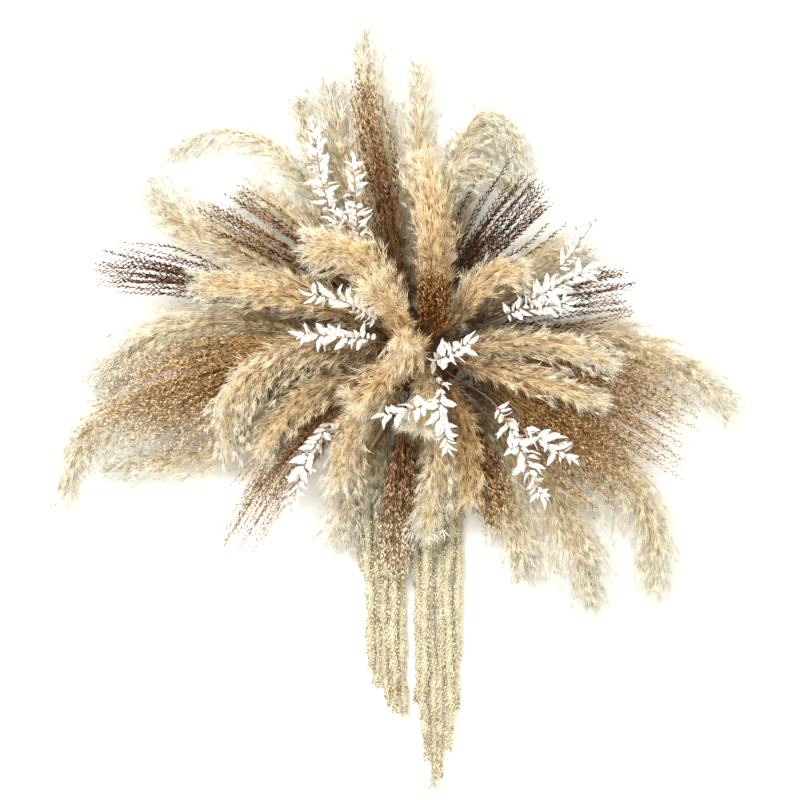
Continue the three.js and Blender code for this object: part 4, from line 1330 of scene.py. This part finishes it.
class RuscusSettings(bpy.types.PropertyGroup):
    leaf_length: FloatProperty(
        name="Leaf length",
        description="Length of the longest leaves",
        default=0.0285,
        min=0.008,
        unit="LENGTH",
    )
    leaf_every: FloatProperty(
        name="Leaf spacing", description="Distance between leaves along a twig", default=0.003, unit="LENGTH"
    )
    twig: FloatVectorProperty(
        name="Twig", description="Colour of the twigs", default=ink("8E7058"), subtype="COLOR", min=0, max=1
    )
    leaf: FloatVectorProperty(
        name="Leaf",
        description="Colour of the bleached leaves",
        default=ink("F1EFEA"),
        subtype="COLOR",
        min=0,
        max=1,
    )


class AmaranthSettings(bpy.types.PropertyGroup):
    strand_width: FloatProperty(
        name="Strand width", description="Width of a hanging strand", default=0.0135, min=0.003, unit="LENGTH"
    )
    sway: FloatProperty(
        name="Sway", description="How far a strand sways to its sides", default=0.003, unit="LENGTH"
    )
    bead: FloatProperty(name="Bead", description="Size of one bead", default=0.004, min=0.001, unit="LENGTH")
    bead_every: FloatProperty(
        name="Bead spacing",
        description="Distance from bead to bead along a strand",
        default=0.00055,
        unit="LENGTH",
    )
    # Painted shade: the shade ink darkens the folds, the beads' feet and the strands under the beads.
    shade: FloatVectorProperty(
        name="Shade", description="Colour in the folds", default=ink("7A6234"), subtype="COLOR", min=0, max=1
    )
    body: FloatVectorProperty(
        name="Body",
        description="Colour between the folds",
        default=ink("DCD4B6"),
        subtype="COLOR",
        min=0,
        max=1,
    )
    light: FloatVectorProperty(
        name="Light", description="Colour of the beads", default=ink("F1EFDC"), subtype="COLOR", min=0, max=1
    )


class FoamSettings(bpy.types.PropertyGroup):
    # The foam's colour is its own dry brown, kept darker as painted shade for the hollow in the heart.
    colour: FloatVectorProperty(
        name="Colour",
        description="Colour of the dry foam",
        default=ink("4E3A24"),
        subtype="COLOR",
        min=0,
        max=1,
    )
    pores: FloatProperty(name="Pores", description="Pores to a metre", default=700, min=50)


class StageSettings(bpy.types.PropertyGroup):
    floor: FloatVectorProperty(
        name="Floor", description="Colour of the floor", default=ink("FBFBFA"), subtype="COLOR", min=0, max=1
    )
    height: FloatProperty(
        name="Camera height", description="Height of the camera over the floor", default=6.0, unit="LENGTH"
    )
    width: FloatProperty(
        name="View width", description="Width of what the camera sees", default=1.04, unit="LENGTH"
    )


# Operators

# The seeds of the tufts' draws with how far the hairs part, then those of the wisp, which is thinner, and the
# widths of a dark seed, a spikelet and a bead as shares of their lengths.
TUFTS = ((11, 0.5), (12, 0.7), (13, 0.6))
WISP = (14, 0.3)
WISP_THIN = 0.6
SEED_WIDTH = 0.14
SPIKELET_WIDTH = 0.27
BEAD_WIDTH = 0.85


class SPRAY_OT_plumes(bpy.types.Operator):
    """Dress every pampas plume in fluff"""

    bl_idname = "spray.plumes"
    bl_label = "Plumes"

    def execute(self, context):
        settings = context.scene.spray_plumes
        width = settings.hair_width / settings.hair_length
        tufts = [tuft(seed, settings.hairs, spread, width) for seed, spread in TUFTS]
        seed, spread = WISP
        tufts.append(tuft(seed, settings.hairs - 1, spread, width * WISP_THIN))
        finishes = {
            key: dried_material("Plume " + key, map(ink, inks), mottle=0.5, contrast=0.6, sheen=0.15)
            for key, inks in PLUME_INKS.items()
        }
        seed_shape = spikelet(SEED_WIDTH, sides=3)
        for name in PLUMES:
            grow_plume(name, settings, tufts, seed_shape, finishes[PLUMES[name][1]])
        return {"FINISHED"}


class SPRAY_OT_grasses(bpy.types.Operator):
    """Dress every fan of reed grass in stalks and spikelets"""

    bl_idname = "spray.grasses"
    bl_label = "Reed grass"

    def execute(self, context):
        settings = context.scene.spray_grasses
        shape = spikelet(SPIKELET_WIDTH, sides=3)
        finishes = {}
        for key, inks in GRASS_INKS.items():
            label = "Reed grass " + key.replace("_", " ")
            finishes[key] = dried_material(label, map(ink, inks), mottle=0.3, contrast=1.3, scale=60)
        for name in GRASSES:
            grow_fan(name, settings, shape, finishes[GRASSES[name][0]])
        return {"FINISHED"}


class SPRAY_OT_ruscus(bpy.types.Operator):
    """Dress every sprig of ruscus in bleached leaves"""

    bl_idname = "spray.ruscus"
    bl_label = "Ruscus"

    def execute(self, context):
        settings = context.scene.spray_ruscus
        shape = leaf()
        inks = (settings.twig, settings.leaf, settings.leaf)
        finish = dried_material("Bleached ruscus", inks, mottle=0.1, contrast=0.12, scale=80, bump=0.15)
        for name in RUSCUS:
            grow_sprig(name, settings, shape, finish)
        return {"FINISHED"}


class SPRAY_OT_amaranth(bpy.types.Operator):
    """Dress the amaranth strands in beads"""

    bl_idname = "spray.amaranth"
    bl_label = "Amaranth"

    def execute(self, context):
        settings = context.scene.spray_amaranth
        shape = spikelet(BEAD_WIDTH, sides=4)
        # The shade ink is painted shade for the folds and the beads' feet.
        inks = (settings.shade, settings.body, settings.light)
        finish = dried_material("Amaranth beads", inks, mottle=0.4, contrast=0.5, scale=50, sheen=0.1)
        for name in AMARANTH:
            grow_tails(name, settings, shape, finish)
        return {"FINISHED"}


class SPRAY_OT_foam(bpy.types.Operator):
    """Give the foam dome its porous finish"""

    bl_idname = "spray.foam"
    bl_label = "Foam"

    def execute(self, context):
        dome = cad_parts["foam_dome"]
        dome.data.materials.clear()
        dome.data.materials.append(foam_material(context.scene.spray_foam))
        return {"FINISHED"}


class SPRAY_OT_stage(bpy.types.Operator):
    """Set up the floor, the lights and the camera"""

    bl_idname = "spray.stage"
    bl_label = "Stage"

    def execute(self, context):
        settings = context.scene.spray_stage
        lay_floor(settings)
        hang_lights()
        set_camera(context.scene, settings)
        return {"FINISHED"}


# The floor's half width and its small drop, both in metres, and its dull finish.
FLOOR_SIZE = 6
FLOOR_DROP = -0.0004
FLOOR_ROUGHNESS = 0.9
FLOOR_SPECULAR = 0.1

# The square lamps, with place, size and power, what they all aim at, and the light of the room around.
LAMPS = (
    ("key", (-1.2, 1.3, 2.8), 1.2, 118),
    ("fill", (1.9, -0.6, 2.4), 2.4, 24),
    ("low", (-0.4, -2.2, 1.6), 2.0, 12),
)
AIM = (0, 0, 0.05)
ROOM_COLOUR = (1, 0.955, 0.87, 1)
ROOM_STRENGTH = 0.93

# What the camera stands over, the height at which the width of its view is measured, and how far it sees.
CAMERA_OVER = (-0.026, -0.065)
VIEW_HEIGHT = 0.06
SEES_TO = 50


def lay_floor(settings):
    """A plain floor under the spray."""
    bm = bmesh.new()
    bmesh.ops.create_grid(bm, x_segments=2, y_segments=2, size=FLOOR_SIZE)
    bmesh.ops.translate(bm, vec=(0, 0, FLOOR_DROP), verts=bm.verts)
    mesh = bpy.data.meshes.new("floor")
    bm.to_mesh(mesh)
    bm.free()
    material, _, shader = new_material("Floor")
    shader.inputs["Base Color"].default_value = (*settings.floor, 1)
    shader.inputs["Roughness"].default_value = FLOOR_ROUGHNESS
    shader.inputs["Specular IOR Level"].default_value = FLOOR_SPECULAR
    mesh.materials.append(material)
    floor = bpy.data.objects.new("floor", mesh)
    bpy.context.scene.collection.objects.link(floor)


def hang_lights():
    """Soft lamps above the spray, and an even light from all round."""
    for name, place, size, power in LAMPS:
        data = bpy.data.lights.new(name, "AREA")
        data.size, data.energy = size, power
        lamp = bpy.data.objects.new(name, data)
        lamp.location = place
        lamp.rotation_mode = "QUATERNION"
        lamp.rotation_quaternion = (Vector(AIM) - Vector(place)).to_track_quat("-Z", "Y")
        bpy.context.scene.collection.objects.link(lamp)
    world = bpy.data.worlds.new("studio")
    world.use_nodes = True
    world.node_tree.nodes["Background"].inputs["Color"].default_value = ROOM_COLOUR
    world.node_tree.nodes["Background"].inputs["Strength"].default_value = ROOM_STRENGTH
    bpy.context.scene.world = world


def set_camera(scene, settings):
    """A camera that looks straight down."""
    data = bpy.data.cameras.new("camera")
    data.lens = data.sensor_width * (settings.height - VIEW_HEIGHT) / settings.width
    data.clip_end = SEES_TO
    camera = bpy.data.objects.new("camera", data)
    camera.location = (*CAMERA_OVER, settings.height)
    scene.collection.objects.link(camera)
    scene.camera = camera
    scene.view_settings.view_transform = "Standard"


OPERATORS = (
    SPRAY_OT_plumes,
    SPRAY_OT_grasses,
    SPRAY_OT_ruscus,
    SPRAY_OT_amaranth,
    SPRAY_OT_foam,
    SPRAY_OT_stage,
)
SETTINGS = {
    "spray_plumes": PlumeSettings,
    "spray_grasses": GrassSettings,
    "spray_ruscus": RuscusSettings,
    "spray_amaranth": AmaranthSettings,
    "spray_foam": FoamSettings,
    "spray_stage": StageSettings,
}


class SPRAY_PT_panel(bpy.types.Panel):
    """Lists the spray's pieces and their settings"""

    bl_idname = "SPRAY_PT_panel"
    bl_label = "Dried spray"
    bl_space_type = "VIEW_3D"
    bl_region_type = "UI"
    bl_category = "Spray"

    def draw(self, context):
        for operator, settings in zip(OPERATORS, SETTINGS):
            box = self.layout.box()
            box.operator(operator.bl_idname)
            group = getattr(context.scene, settings)
            for key in group.__annotations__:
                box.prop(group, key)


def register():
    for made in (*SETTINGS.values(), *OPERATORS, SPRAY_PT_panel):
        bpy.utils.register_class(made)
    for name, settings in SETTINGS.items():
        setattr(bpy.types.Scene, name, PointerProperty(type=settings))


def unregister():
    for name in SETTINGS:
        delattr(bpy.types.Scene, name)
    for made in reversed((*SETTINGS.values(), *OPERATORS, SPRAY_PT_panel)):
        bpy.utils.unregister_class(made)


def main():
    register()
    for operator in OPERATORS:
        group, name = operator.bl_idname.split(".")
        getattr(getattr(bpy.ops, group), name)()
    bpy.context.view_layer.update()


if __name__ == "__main__":
    main()
